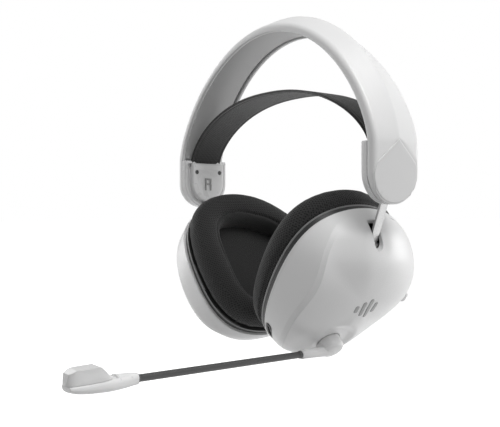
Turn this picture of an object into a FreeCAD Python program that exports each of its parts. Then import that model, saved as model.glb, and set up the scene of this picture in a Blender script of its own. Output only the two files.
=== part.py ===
import FreeCAD, Part
import math
import os
import Sketcher

# A wireless gaming headset: an arched headband with an elastic suspension strap, two ear
# cups on flat steel hanger arms, and a boom microphone on the wearer's left cup.
# Axes: +Z up, +X towards the wearer's left ear, -Y towards the wearer's front.
# The origin is on the underside of the strap at its crown, where the head rests.

os.makedirs("parts", exist_ok=True)
doc = FreeCAD.newDocument("gaming_headset")
V = FreeCAD.Vector
X_AXIS, Y_AXIS, Z_AXIS = V(1, 0, 0), V(0, 1, 0), V(0, 0, 1)

# ---------------------------------------------------------------- sizes, in mm and degrees
SIZES = {
    # headband arch: inner surface |x| = span*cos^p, z = rise*sin^q above the spring line
    "spring_height": -34.4, "band_half_span": 88, "band_rise": 70,
    "band_span_power": 1.01, "band_rise_power": 1.33,
    "band_foot_width": 32.2, "band_crown_width": 27, "band_edge_thick": 5.1,
    "ridge_foot": 1.4, "ridge_crown": 5.2, "lip_width": 2.2, "channel_depth": 3.2,
    "edge_bevel": 2, "liner_low": 0.5, "liner_high": 1.9, "liner_front_gap": 0.3,
    "liner_rear_gap": 1.3, "spring_low": 2, "spring_high": 2.9, "spring_strip_half": 9,
    # band ends
    "end_bottom": -64.7, "end_radius": 16.1, "facet_tilt": 6.65, "facet_thick": 1.2,
    "housing_inner": 83.6, "housing_thick": 4.1, "rim_wall": 2, "tray_depth": 1.9,
    "plate_inner": 80.6, "plate_thick": 4.8, "plate_half": 12, "plate_top": -35.2,
    "tail_pocket_half": 13, "tail_pocket_low": -38.2, "tail_pocket_depth": 2,
    "screw_half_pitch": 8.9, "screw_height": -41.2, "screw_radius": 1.4,
    "screw_hole_radius": 1.45, "screw_length": 6.2,
    "plug_length": 5, "plug_width": 2.6, "plug_depth": 1.4, "plug_height": -46,
    # suspension strap
    "strap_half_span": 83.6, "strap_base": -35.2, "strap_rise": 35.2, "strap_thick": 1.5,
    "strap_span_power": 0.885, "strap_rise_power": 1.316,
    "strap_end_width": 23.4, "strap_crown_width": 26.5, "strap_tail": 2.4,
    # ear cup frame and hanger
    "cup_x": 40, "cup_y": 12, "cup_z": -106.8, "cup_lean": 34,
    "pin_x": 74.6, "pin_z": -86.2, "arm_lean": 22.2, "arm_width": 5, "arm_thick": 2.3,
    "arm_eye_radius": 2.9, "arm_bar_length": 26.4, "pivot_radius": 1.6, "pivot_length": 8.4,
    "pivot_head_radius": 2.1, "bush_radius": 2.6, "bush_length": 6, "bush_start": 26.8,
    "shaft_clearance": 0.05, "tilt_pin_radius": 1.25, "tilt_pin_length": 11,
    "ear_thick": 1.6, "ear_gap": 5.8,
    # ear cup shell, a dome over the seam outline
    "dome_height": 29, "dome_power": 2, "face_u": -11, "face_v": 8, "shell_wall": 2.2,
    "slot_width": 6.6, "slot_low": 41, "slot_high": 47.2,
    "ring_low": -4.4, "ring_high": -0.3, "ring_inset": 1.2, "ring_width": 13,
    "baffle_low": 0.5, "baffle_high": 2.3, "baffle_inset": 5,
    "cloth_low": -5, "cloth_high": -4.5, "cloth_inset": 9,
    "cushion_base": -5.1, "cushion_face": -20.8, "opening_inset": 18.5,
    # speaker driver
    "driver_u": -2, "driver_v": 2, "frame_radius": 20.8, "frame_bore": 15.2,
    "magnet_radius": 15, "magnet_low": 3.4, "magnet_high": 9.4,
    "membrane_radius": 17, "membrane_low": -2.6, "membrane_high": -1.9,
    # controls and charging port
    "board_thick": 1.6, "board_low": 11.5, "button_radius": 3, "wheel_radius": 6,
    "wheel_thick": 3, "axle_length": 5.2, "wheel_n": 9.5, "wheel_v": -4, "wheel_proud": 0.7,
    "button_n": 8, "power_v": -11, "mute_v": -20, "button_proud": 0.9,
    "port_angle": 214, "port_reach": 50.4, "port_n": 3.4, "port_half": 3, "port_radius": 2.4,
    "port_length": 3.8, "port_wall": 0.7, "port_gap": 0.2,
    # microphone
    "knob_n": 26.9, "knob_u": -17.6, "knob_v": -22.2, "knob_lean": 14,
    "knob_radius": 6.6, "knob_high": 3.4, "knob_low": -4.2, "spindle_radius": 2.3,
    "stalk_radius": 2.35, "stalk_end": -26.6, "boom_radius": 1.7, "boom_end": -120.4,
    "boom_x": 50, "boom_z": -142.2, "flex_y": -73.5, "flex_gap": 0.3,
}

dim = doc.addObject("Spreadsheet::Sheet", "dim")
for row, (alias, value) in enumerate(SIZES.items(), start=1):
    dim.set("A%d" % row, alias)
    dim.set("B%d" % row, str(value))
    dim.setAlias("B%d" % row, alias)
doc.recompute()


def size(alias):
    """The value of one cell of the sheet."""
    return float(dim.get(alias))


def value(expression):
    """The number that an expression over the sheet gives."""
    result = dim.evalExpression(str(expression))
    return float(getattr(result, "Value", result))


def bind(target, **expressions):
    """Tie properties of an object to cells of the sheet."""
    for name, expression in expressions.items():
        target.setExpression(name, str(expression))
    return target


# ---------------------------------------------------------------- helpers
SUB_PARTS = []


def sub_part(target, label, placement=None):
    """Give a finished piece its node name and its place."""
    target.Label = label
    if placement is not None:
        target.Placement = placement
    SUB_PARTS.append(target)
    return target


def feature(label, shape, placement=None):
    """A piece whose curved shape is built with Part's own functions."""
    piece = doc.addObject("Part::Feature", "piece_" + label)
    piece.Shape = shape
    return sub_part(piece, label, placement)


def primitive(kind, label, placement=None, **expressions):
    return sub_part(bind(doc.addObject(kind, "piece_" + label), **expressions), label, placement)


def boolean(kind, label, base, tool):
    """A Part::Cut or Part::Fuse of two helper objects."""
    result = doc.addObject(kind, "piece_" + label)
    result.Base, result.Tool = base, tool
    return sub_part(result, label)


def mirrored(source, label):
    """The same piece on the wearer's right."""
    twin = doc.addObject("Part::Mirroring", "piece_" + label)
    twin.Source = source
    twin.Normal = X_AXIS
    return sub_part(twin, label)


def both_sides(source, stem):
    """Name a left-hand piece and add its right-hand twin."""
    source.Label = stem + "_left"
    mirrored(source, stem + "_right")


def new_sketch(body, name, role):
    """A sketch on one of the body's own origin planes."""
    sketch = body.newObject("Sketcher::SketchObject", name)
    plane = [item for item in body.Origin.OriginFeatures if item.Role == role][0]
    sketch.AttachmentSupport = [(plane, "")]
    sketch.MapMode = "FlatFace"
    return sketch


def hold(sketch, kind, geometry, point, expression):
    """Tie one coordinate of a sketch point to an expression."""
    number = value(expression)
    if abs(number) < 1e-9:
        axis = -2 if kind == "DistanceX" else -1
        sketch.addConstraint(Sketcher.Constraint("PointOnObject", geometry, point, axis))
        return
    index = sketch.addConstraint(Sketcher.Constraint(kind, -1, 1, geometry, point, number))
    sketch.setExpression("Constraints[%d]" % index, str(expression))


def outline(sketch, corners):
    """A closed outline of straight sides, its corners given as pairs of expressions."""
    first = sketch.GeometryCount
    spots = [V(value(a), value(b), 0) for a, b in corners]
    count = len(spots)
    for index in range(count):
        sketch.addGeometry(Part.LineSegment(spots[index], spots[(index + 1) % count]), False)
    for index in range(count):
        sketch.addConstraint(Sketcher.Constraint(
            "Coincident", first + index, 2, first + (index + 1) % count, 1))
    for index, (across, along) in enumerate(corners):
        hold(sketch, "DistanceX", first + index, 1, across)
        hold(sketch, "DistanceY", first + index, 1, along)
    return sketch


def circle(sketch, across, along, radius):
    index = sketch.addGeometry(Part.Circle(V(value(across), value(along), 0), Z_AXIS, value(radius)))
    hold(sketch, "DistanceX", index, 3, across)
    hold(sketch, "DistanceY", index, 3, along)
    limit = sketch.addConstraint(Sketcher.Constraint("Radius", index, value(radius)))
    sketch.setExpression("Constraints[%d]" % limit, str(radius))
    return sketch


def tongue(sketch, half_width, top, middle):
    """A strip with a straight top and a half-round bottom, centred on the vertical axis."""
    half, high, low = value(half_width), value(top), value(middle)
    sketch.addGeometry(Part.LineSegment(V(-half, low, 0), V(-half, high, 0)), False)
    sketch.addGeometry(Part.LineSegment(V(-half, high, 0), V(half, high, 0)), False)
    sketch.addGeometry(Part.LineSegment(V(half, high, 0), V(half, low, 0)), False)
    bow = Part.Circle(V(0, low, 0), Z_AXIS, half)
    sketch.addGeometry(Part.ArcOfCircle(bow, math.pi, 2 * math.pi), False)
    for one, end, other, start in ((0, 2, 1, 1), (1, 2, 2, 1), (2, 2, 3, 2), (3, 1, 0, 1)):
        sketch.addConstraint(Sketcher.Constraint("Coincident", one, end, other, start))
    hold(sketch, "DistanceX", 1, 1, "-(%s)" % half_width)
    hold(sketch, "DistanceY", 1, 1, top)
    hold(sketch, "DistanceX", 1, 2, half_width)
    hold(sketch, "DistanceY", 1, 2, top)
    hold(sketch, "DistanceX", 0, 1, "-(%s)" % half_width)
    hold(sketch, "DistanceY", 0, 1, middle)
    hold(sketch, "DistanceX", 2, 2, half_width)
    hold(sketch, "DistanceY", 2, 2, middle)
    hold(sketch, "DistanceY", 3, 3, middle)
    return sketch


def new_body(name):
    return doc.addObject("PartDesign::Body", name)


def pad(body, sketch, length, name="Pad"):
    item = body.newObject("PartDesign::Pad", name)
    item.Profile = sketch
    bind(item, Length=length)
    doc.recompute()
    return item


def pocket(body, sketch, length, reverse, name="Pocket"):
    """Cut a sketch's outline to a depth; it has to take material away."""
    before = body.Shape.Volume
    item = body.newObject("PartDesign::Pocket", name)
    item.Profile = sketch
    item.Reversed = reverse
    bind(item, Length=length)
    doc.recompute()
    if body.Shape.Volume > before - 0.01:
        raise RuntimeError(name + " cuts nothing")
    return item


def turned(name, corners):
    """A body turned about its own X axis; corners are (along X, radius) pairs."""
    body = new_body(name)
    sketch = outline(new_sketch(body, name + "_profile", "XY_Plane"), corners)
    item = body.newObject("PartDesign::Revolution", name + "_turn")
    item.Profile = sketch
    item.ReferenceAxis = (sketch, ["H_Axis"])
    item.Angle = 360
    doc.recompute()
    return body


def drilled(shape, *tools):
    for tool in tools:
        shape = shape.cut(tool)
    return shape


def rod(start, end, radius):
    """A plain cylinder between two points."""
    return Part.makeCylinder(radius, (end - start).Length, start, end - start)


def block(low, high):
    return Part.makeBox(high.x - low.x, high.y - low.y, high.z - low.z, low)


# ---------------------------------------------------------------- headband
ARCH_ANGLES = [0, 8, 17, 27, 38, 50, 63, 76, 90, 104, 117, 130, 142, 153, 163, 172, 180]


def arch(degrees, half_span, rise, base, span_power, rise_power):
    """A point of an arch and its outward normal, in the XZ plane."""
    def spot(angle):
        across = math.copysign(abs(math.cos(angle)) ** span_power, math.cos(angle))
        return V(half_span * across, 0, base + rise * max(math.sin(angle), 0) ** rise_power)
    angle = math.radians(degrees)
    if degrees in (0, 180):
        return spot(angle), V(math.cos(angle), 0, 0)
    step = 0.002
    run = spot(angle + step) - spot(angle - step)
    return spot(angle), V(run.z, 0, -run.x).normalize()


def band_arch(degrees):
    return arch(degrees, size("band_half_span"), size("band_rise"), size("spring_height"),
                size("band_span_power"), size("band_rise_power"))


def strap_arch(degrees):
    return arch(degrees, size("strap_half_span"), size("strap_rise"), size("strap_base"),
                size("strap_span_power"), size("strap_rise_power"))


def blend(foot, crown, degrees, power=2):
    """A size that goes from its value at the feet to its value at the crown."""
    return crown + (foot - crown) * math.cos(math.radians(degrees)) ** power


def band_half_width(degrees):
    return blend(size("band_foot_width"), size("band_crown_width"), degrees) / 2


def lofted_band(curve, section, angles):
    """Loft section(degrees), a list of (across, out) pairs, along an arch."""
    wires = []
    for degrees in angles:
        spot, normal = curve(degrees)
        corners = [spot + V(0, across, 0) + normal * out for across, out in section(degrees)]
        wires.append(Part.makePolygon(corners + corners[:1]))
    return Part.makeLoft(wires, True, False)


def roof_section(degrees):
    """The outer half of the band's section: bevelled edges and a ridge in the middle."""
    half, thick, bevel = band_half_width(degrees), size("band_edge_thick"), size("edge_bevel")
    ridge = thick + blend(size("ridge_foot"), size("ridge_crown"), degrees, 4)
    return [(-half, 0), (-half, thick - bevel), (-half + bevel, thick), (0, ridge),
            (half - bevel, thick), (half, thick - bevel), (half, 0)]


def channel_section(degrees):
    inner = band_half_width(degrees) - size("lip_width")
    return flat_section(inner, -2, size("channel_depth"))


def liner_section(degrees):
    inner = band_half_width(degrees) - size("lip_width")
    front, rear = -inner + size("liner_front_gap"), inner - size("liner_rear_gap")
    low, high = size("liner_low"), size("liner_high")
    return [(front, low), (front, high), (rear, high), (rear, low)]


def flat_section(half, low, high):
    return [(-half, low), (-half, high), (half, high), (half, low)]


foot_middle = size("end_bottom") + size("end_radius")
facet_top = size("spring_height") + 2.2
facet_top_x = size("band_half_span") + size("band_edge_thick") + size("ridge_foot")
LONG = 80


def facet_slab(depth):
    """Everything outside the flat end facet, starting a depth below its surface."""
    slab = Part.makeBox(LONG, LONG, LONG * 2, V(-depth, -LONG / 2, -LONG))
    slab.rotate(V(0, 0, 0), Y_AXIS, size("facet_tilt"))
    slab.translate(V(facet_top_x, 0, facet_top))
    return slab


def band_foot(side):
    """The solid straight foot below the spring line, with a half-round end."""
    corners = [V(side * (size("band_half_span") + out), across, size("end_bottom"))
               for across, out in roof_section(0)]
    prism = Part.Face(Part.makePolygon(corners + corners[:1]))
    prism = prism.extrude(V(0, 0, size("spring_height") - size("end_bottom")))
    radius = size("end_radius")
    tip = Part.makeCylinder(radius, 2 * LONG, V(-LONG + side * LONG, 0, foot_middle), X_AXIS)
    upper = block(V(side * LONG - LONG, -radius, foot_middle),
                  V(side * LONG + LONG, radius, facet_top))
    return prism.common(tip.fuse(upper))


solid_band = lofted_band(band_arch, roof_section, ARCH_ANGLES)
solid_band = solid_band.multiFuse([band_foot(1), band_foot(-1)]).removeSplitter()
arm_tilt = math.radians(size("arm_lean"))
arm_run = V(math.sin(arm_tilt), 0, math.cos(arm_tilt))
pin_spot = V(size("pin_x"), 0, size("pin_z"))
bush_low = pin_spot + arm_run * size("bush_start")
bush_room = rod(bush_low - arm_run * 5, bush_low + arm_run * (size("bush_length") + 3.4),
                size("bush_radius") + size("shaft_clearance"))
plug_spot = V(size("band_half_span") + 1.2, size("band_foot_width") / 2, size("plug_height"))
plug_room = block(plug_spot + V(0, -size("plug_depth"), 0),
                  plug_spot + V(size("plug_width"), 2, size("plug_length")))
pick_corners = [V(60, 0, facet_top), V(60, 14.4, -42.6), V(60, 17, -46),
                V(60, 17, -70), V(60, -17, -70), V(60, -17, -46), V(60, -14.4, -42.6)]
pick = Part.Face(Part.makePolygon(pick_corners + pick_corners[:1])).extrude(V(60, 0, 0))
facet_cut = facet_slab(0)
cap_room = facet_slab(size("facet_thick")).common(pick)
left_cap = drilled(solid_band.common(cap_room), facet_cut, bush_room, plug_room)
flip = FreeCAD.Matrix()
flip.scale(-1, 1, 1)
channel_angles = [4] + ARCH_ANGLES[1:-1] + [176]
channel = lofted_band(band_arch, channel_section, channel_angles)
end_cuts = [facet_cut, cap_room, bush_room, plug_room]
end_cuts += [cut.transformGeometry(flip) for cut in end_cuts]
feature("headband_shell", drilled(solid_band, channel, *end_cuts))
feature("headband_liner", lofted_band(band_arch, liner_section, [4.5] + channel_angles[1:-1] + [175.5]))
feature("headband_spring", lofted_band(
    band_arch, lambda degrees: flat_section(size("spring_strip_half"), size("spring_low"),
                                            size("spring_high")),
    [5.5] + channel_angles[1:-1] + [174.5]))
both_sides(feature("end_cap_left", left_cap), "end_cap")
plug_shape = block(plug_spot + V(0.05, 0.05 - size("plug_depth"), 0.05),
                   plug_spot + V(size("plug_width") - 0.05, -0.3, size("plug_length") - 0.05))
both_sides(feature("end_plug_left", plug_shape), "end_plug")

# inner half of the band's end: a tray with a rim, open to the arm's bush
housing = new_body("end_housing_body")
housing_sketch = new_sketch(housing, "housing_outline", "YZ_Plane")
tongue(housing_sketch, "dim.end_radius", "dim.spring_height + 1", "dim.end_bottom + dim.end_radius")
bind(housing_sketch, **{"AttachmentOffset.Base.z": "dim.housing_inner"})
pad(housing, housing_sketch, "dim.housing_thick")
tray_sketch = new_sketch(housing, "tray_outline", "YZ_Plane")
tongue(tray_sketch, "dim.end_radius - dim.rim_wall", "dim.spring_height + 2",
       "dim.end_bottom + dim.end_radius")
bind(tray_sketch, **{"AttachmentOffset.Base.z": "dim.housing_inner"})
pocket(housing, tray_sketch, "dim.tray_depth", True)
hole_sketch = new_sketch(housing, "housing_screw_holes", "YZ_Plane")
for sign in ("", "-"):
    circle(hole_sketch, sign + "dim.screw_half_pitch", "dim.screw_height", "dim.screw_hole_radius")
bind(hole_sketch, **{"AttachmentOffset.Base.z": "dim.housing_inner"})
pocket(housing, hole_sketch, "dim.housing_thick", True, "ScrewHoles")


def cut_by(label, body, tool_shape):
    """A body with a further room cut in it."""
    tool = doc.addObject("Part::Feature", "room_" + label)
    tool.Shape = tool_shape
    piece = boolean("Part::Cut", label, body, tool)
    doc.recompute()
    return piece


both_sides(cut_by("end_housing_left", housing, bush_room), "end_housing")

# D-shaped plate that clamps the strap's tail
anchor = new_body("strap_anchor_body")
anchor_sketch = new_sketch(anchor, "anchor_outline", "YZ_Plane")
tongue(anchor_sketch, "dim.plate_half", "dim.plate_top", "dim.end_bottom + dim.end_radius")
bind(anchor_sketch, **{"AttachmentOffset.Base.z": "dim.plate_inner"})
pad(anchor, anchor_sketch, "dim.plate_thick")
tail_sketch = new_sketch(anchor, "tail_pocket", "YZ_Plane")
outline(tail_sketch, [("-dim.tail_pocket_half", "dim.tail_pocket_low"),
                      ("dim.tail_pocket_half", "dim.tail_pocket_low"),
                      ("dim.tail_pocket_half", "dim.plate_top + 1"),
                      ("-dim.tail_pocket_half", "dim.plate_top + 1")])
bind(tail_sketch, **{"AttachmentOffset.Base.z": "dim.plate_inner + dim.plate_thick"})
pocket(anchor, tail_sketch, "dim.tail_pocket_depth", False)
anchor_holes = new_sketch(anchor, "anchor_screw_holes", "YZ_Plane")
for sign in ("", "-"):
    circle(anchor_holes, sign + "dim.screw_half_pitch", "dim.screw_height", "dim.screw_hole_radius")
bind(anchor_holes, **{"AttachmentOffset.Base.z": "dim.plate_inner"})
pocket(anchor, anchor_holes, "dim.plate_thick", True, "ScrewHoles")
both_sides(cut_by("strap_anchor_left", anchor, bush_room), "strap_anchor")

screw_start = size("plate_inner") + 0.3
screws = Part.makeCompound([
    rod(V(screw_start, side * size("screw_half_pitch"), size("screw_height")),
        V(screw_start + size("screw_length"), side * size("screw_half_pitch"), size("screw_height")),
        size("screw_radius")) for side in (-1, 1)])
both_sides(feature("anchor_screws_left", screws), "anchor_screws")


def letter(strokes, side):
    """Raised strokes on the anchor plate, read from inside the headset."""
    face, raise_by, middle = size("plate_inner"), 0.4, size("screw_height") - 8
    bars = []
    for left, low, right, high in strokes:
        across = sorted((side * left, side * right))
        xs = sorted((side * (face - raise_by), side * face))
        bars.append(block(V(xs[0], across[0], middle + low), V(xs[1], across[1], middle + high)))
    shape = bars[0].multiFuse(bars[1:]) if len(bars) > 1 else bars[0]
    return shape.removeSplitter()


PEN = 1.1
LETTER_L = [(-2.6, -4, -2.6 + PEN, 4), (-2.6, -4, 2.6, -4 + PEN)]
LETTER_R = [(-2.6, -4, -2.6 + PEN, 4), (-2.6, 4 - PEN, 2.2, 4), (2.2 - PEN, 0, 2.2, 4),
            (-2.6, -0.4, 2.2, -0.4 + PEN), (1.2, -4, 2.4, 0)]
feature("side_mark_left", letter([(-r, lo, -l, hi) for l, lo, r, hi in LETTER_L], 1))
feature("side_mark_right", letter([(-r, lo, -l, hi) for l, lo, r, hi in LETTER_R], -1))


# ---------------------------------------------------------------- suspension strap
def strap_section(degrees):
    half = blend(size("strap_end_width"), size("strap_crown_width"), degrees) / 2
    return flat_section(half, 0, size("strap_thick"))


strap = lofted_band(strap_arch, strap_section, ARCH_ANGLES)
tail_half, tail_low = size("strap_end_width") / 2, size("strap_base") - size("strap_tail")
tails = [block(V(min(a, b), -tail_half, tail_low), V(max(a, b), tail_half, size("strap_base")))
         for a, b in ((size("strap_half_span"), size("strap_half_span") + size("strap_thick")),
                      (-size("strap_half_span") - size("strap_thick"), -size("strap_half_span")))]
feature("suspension_strap", strap.fuse(tails).removeSplitter())

# ---------------------------------------------------------------- hanger arms
# local X runs up the bar from the tilt pin, local Y is the pin's direction
arm_frame = FreeCAD.Placement(pin_spot, FreeCAD.Rotation(arm_run, Y_AXIS, V(0, 0, 0), "XYZ"))
bar = new_body("arm_bar_body")
bar_sketch = new_sketch(bar, "bar_side", "XY_Plane")
outline(bar_sketch, [("0", "-dim.arm_width / 2"), ("dim.arm_bar_length", "-dim.arm_width / 2"),
                     ("dim.arm_bar_length", "dim.arm_width / 2"), ("0", "dim.arm_width / 2")])
bar_pad = pad(bar, bar_sketch, "dim.arm_thick")
bar_pad.Midplane = True
doc.recompute()
long_edges = ["Edge%d" % number for number, edge in enumerate(bar_pad.Shape.Edges, start=1)
              if abs(edge.tangentAt(edge.FirstParameter).x) > 0.99]
chamfer = bar.newObject("PartDesign::Chamfer", "BarChamfer")
chamfer.Base = (bar_pad, long_edges)
chamfer.Size = 0.5
doc.recompute()
eye = rod(V(0, -size("arm_width") / 2, 0), V(0, size("arm_width") / 2, 0), size("arm_eye_radius"))
pivot = rod(V(size("arm_bar_length"), 0, 0),
            V(size("arm_bar_length") + size("pivot_length"), 0, 0), size("pivot_radius"))
head_start = size("arm_bar_length") + size("pivot_length")
head = rod(V(head_start - 0.2, 0, 0), V(head_start + 1.2, 0, 0), size("pivot_head_radius"))
pin_hole = rod(V(0, -9, 0), V(0, 9, 0), size("tilt_pin_radius") + size("shaft_clearance"))
arm_shape = bar.Shape.fuse([eye, pivot, head]).cut(pin_hole).removeSplitter()
both_sides(feature("hanger_arm_left", arm_shape, arm_frame), "hanger_arm")
bush = turned("swivel_bush_body", [
    ("dim.bush_start", "dim.pivot_radius + dim.shaft_clearance"),
    ("dim.bush_start + dim.bush_length", "dim.pivot_radius + dim.shaft_clearance"),
    ("dim.bush_start + dim.bush_length", "dim.bush_radius"),
    ("dim.bush_start", "dim.bush_radius")])
both_sides(sub_part(bush, "swivel_bush_left", arm_frame), "swivel_bush")

# ---------------------------------------------------------------- ear cup outline
# cup frame: local X (n) points out of the cup, local Y (u) rearwards, local Z (v) up
cup_frame = FreeCAD.Placement(V(size("cup_x"), size("cup_y"), size("cup_z")),
                              FreeCAD.Rotation(Y_AXIS, size("cup_lean")))
# seam radius and dome fullness every 45 degrees, from the rear round by the top
SEAM_RADIUS = [47, 44, 48, 55, 49, 51, 42, 40]
DOME_FULLNESS = [1.9, 2.3, 3.4, 5, 6, 5, 2.7, 1.7]
CUSHION_BULGE = [0, 0.8, 2.2, 1.6, 0, -1, -1.5, -1]
OPENING_STEP = [1.5, -1, 2, 0, 1, -1, -1, 0]


def seam_point(index, inset=0):
    angle = math.radians(45 * index)
    radius = SEAM_RADIUS[index] - inset
    return V(0, radius * math.cos(angle), radius * math.sin(angle))


def closed_spline(points):
    curve = Part.BSplineCurve()
    curve.interpolate(points, PeriodicFlag=True)
    return Part.Wire(curve.toShape())


def level(depth, inset):
    """The seam outline drawn in by an inset, at one depth along n."""
    insets = inset if isinstance(inset, list) else [inset] * 8
    return closed_spline([seam_point(i, insets[i]) + V(depth, 0, 0) for i in range(8)])


def plate(low, high, inset):
    return Part.Face(level(low, inset)).extrude(V(high - low, 0, 0))


def dome_wire(height, total, inset):
    """The dome's outline at one height, shrinking towards the middle of its face."""
    middle = V(0, size("face_u"), size("face_v"))
    points = []
    for index in range(8):
        reach = seam_point(index, inset) - middle
        share = (1 - (height / total) ** size("dome_power")) ** (1 / DOME_FULLNESS[index])
        points.append(middle + reach * share + V(height, 0, 0))
    return closed_spline(points)


def dome(total, inset):
    shares = [0, 0.22, 0.44, 0.62, 0.77, 0.88, 0.95, 0.99]
    return Part.makeLoft([dome_wire(total * s, total, inset) for s in shares], True, True)


def to_local(spot):
    """A point of the whole headset in the left cup's frame."""
    return cup_frame.inverse().multVec(spot)


pin_local = to_local(pin_spot)
dome_outer = dome(size("dome_height"), 0)
dome_inner = dome(size("dome_height") - size("shell_wall"), size("shell_wall"))
slot_u, slot_half = pin_local.y, size("slot_width") / 2
slot_room = block(V(10, slot_u - slot_half, size("slot_low")),
                  V(40, slot_u + slot_half, size("slot_high")))
slot_room = slot_room.fuse(rod(V(10, slot_u, size("slot_low")), V(40, slot_u, size("slot_low")),
                               slot_half))
plain_shell = dome_outer.cut(dome_inner.fuse(slot_room))

# microphone pivot, volume wheel, buttons and charging port open the left shell
knob_spot = V(size("knob_n"), size("knob_u"), size("knob_v"))
knob_tilt = FreeCAD.Rotation(Y_AXIS, size("knob_lean"))
knob_axis = knob_tilt.multVec(X_AXIS)
knob_frame = cup_frame.multiply(FreeCAD.Placement(knob_spot, knob_tilt))
knob_room = rod(knob_spot + knob_axis * (size("knob_low") - 0.3), knob_spot + knob_axis * 20,
                size("knob_radius") + 0.35)
sweep_room = rod(knob_spot + knob_axis * (-size("stalk_radius") - 1), knob_spot + knob_axis * 20,
                 size("knob_radius") + 8)
spindle_room = rod(knob_spot - knob_axis * 14, knob_spot,
                   size("spindle_radius") + size("shaft_clearance"))


def rear_wall(depth, height):
    """How far back the shell's outside reaches at one depth and height."""
    line = Part.makeLine(V(depth, 0, height), V(depth, 80, height))
    return max(vertex.Y for vertex in line.common(dome_outer).Vertexes)


def rear_normal(depth, height):
    """The shell's outward direction there."""
    step = 0.5
    along = (rear_wall(depth + step, height) - rear_wall(depth - step, height)) / (2 * step)
    upward = (rear_wall(depth, height + step) - rear_wall(depth, height - step)) / (2 * step)
    return V(-along, 1, -upward).normalize()


wheel_reach = rear_wall(size("wheel_n"), size("wheel_v")) + size("wheel_proud")
wheel_spot = V(size("wheel_n"), wheel_reach - size("wheel_radius"), size("wheel_v"))
wheel_room = rod(wheel_spot - V(0, 0, size("wheel_thick") / 2 + 0.4),
                 wheel_spot + V(0, 0, size("wheel_thick") / 2 + 0.4), size("wheel_radius") + 0.5)
BUTTONS = {"power_button": size("power_v"), "mute_button": size("mute_v")}
button_room, button_places = [], {}
for name, height in BUTTONS.items():
    spot = V(size("button_n"), rear_wall(size("button_n"), height), height)
    out = rear_normal(size("button_n"), height)
    button_places[name] = FreeCAD.Placement(spot, FreeCAD.Rotation(X_AXIS, out))
    button_room.append(rod(spot - out * 9, spot + out * 12, size("button_radius") + 0.15))
    button_room.append(rod(spot - out * 9, spot - out * 2.6, size("button_radius") + 1))
port_turn = math.radians(size("port_angle"))
port_out = V(0, math.cos(port_turn), math.sin(port_turn))
port_side = V(0, -port_out.z, port_out.y)
port_spot = port_out * size("port_reach") + V(size("port_n"), 0, 0)


def oblong(centre, direction, across, half_long, radius, reach):
    """A rounded slot-shaped tool that runs both ways along a direction."""
    ends = [rod(centre + across * (sign * half_long) - direction * reach,
                centre + across * (sign * half_long) + direction * reach, radius)
            for sign in (-1, 1)]
    web = Part.makeBox(2 * half_long, 2 * radius, 2 * reach, V(-half_long, -radius, -reach))
    turn = FreeCAD.Rotation(across, V(0, 0, 0), direction, "ZXY")
    web.Placement = FreeCAD.Placement(centre, turn)
    return ends[0].multiFuse([ends[1], web]).removeSplitter()


port_room = oblong(port_spot, port_out, port_side, size("port_half"),
                   size("port_radius") + size("port_gap"), 7)
left_shell = drilled(plain_shell, knob_room, sweep_room, spindle_room, wheel_room, *button_room)
left_shell = left_shell.cut(port_room)
seat = rod(knob_spot + knob_axis * (size("knob_low") - 2.4),
           knob_spot + knob_axis * (size("knob_low") - 0.3), size("knob_radius") + 6)
left_shell = left_shell.fuse(seat.common(dome_outer)).cut(spindle_room)
feature("cup_shell_left", left_shell, cup_frame)
right_shell = feature("cup_shell_source", plain_shell, cup_frame)
SUB_PARTS.remove(right_shell)
mirrored(right_shell, "cup_shell_right")

# ---------------------------------------------------------------- ear cup inside
baffle = plate(size("baffle_low"), size("baffle_high"), size("baffle_inset"))
driver_spot = V(0, size("driver_u"), size("driver_v"))
driver_room = rod(driver_spot - V(20, 0, 0), driver_spot + V(30, 0, 0), size("frame_radius") + 0.05)
SCREW_ANGLES = [0, 2, 4, 6]
cup_screw_spots = [seam_point(i, size("ring_inset") + size("ring_width") - 6) for i in SCREW_ANGLES]
screw_rooms = [rod(spot + V(-20, 0, 0), spot + V(20, 0, 0), size("screw_hole_radius"))
               for spot in cup_screw_spots]
ring = plate(size("ring_low"), size("ring_high"), size("ring_inset"))
ring = ring.cut(plate(-30, 30, size("ring_inset") + size("ring_width")))
both_sides(feature("speaker_baffle_left", drilled(baffle, driver_room, *screw_rooms), cup_frame),
           "speaker_baffle")
both_sides(feature("cushion_ring_left", drilled(ring, *screw_rooms), cup_frame), "cushion_ring")
cup_screws = Part.makeCompound([rod(spot + V(size("ring_low") + 0.2, 0, 0), spot + V(2.6, 0, 0),
                                    size("screw_radius")) for spot in cup_screw_spots])
both_sides(feature("cup_screws_left", cup_screws, cup_frame), "cup_screws")
both_sides(feature("speaker_cloth_left", plate(size("cloth_low"), size("cloth_high"),
                                               size("cloth_inset")), cup_frame), "speaker_cloth")
face = size("cushion_face")
cushion_steps = [(size("cushion_base"), 1.5, 0), (-8, 0.2, 0.3), (-14, 0.3, 1), (-18, 1.5, 1),
                 (-20, 3.6, 1), (face, 7.5, 1)]
cushion = Part.makeLoft([level(depth, [inset - share * bulge for bulge in CUSHION_BULGE])
                         for depth, inset, share in cushion_steps], True, True)
opening = [size("opening_inset") + step for step in OPENING_STEP]
cushion = cushion.cut(plate(-30, 10, opening))
both_sides(feature("ear_cushion_left", cushion, cup_frame), "ear_cushion")

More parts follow.
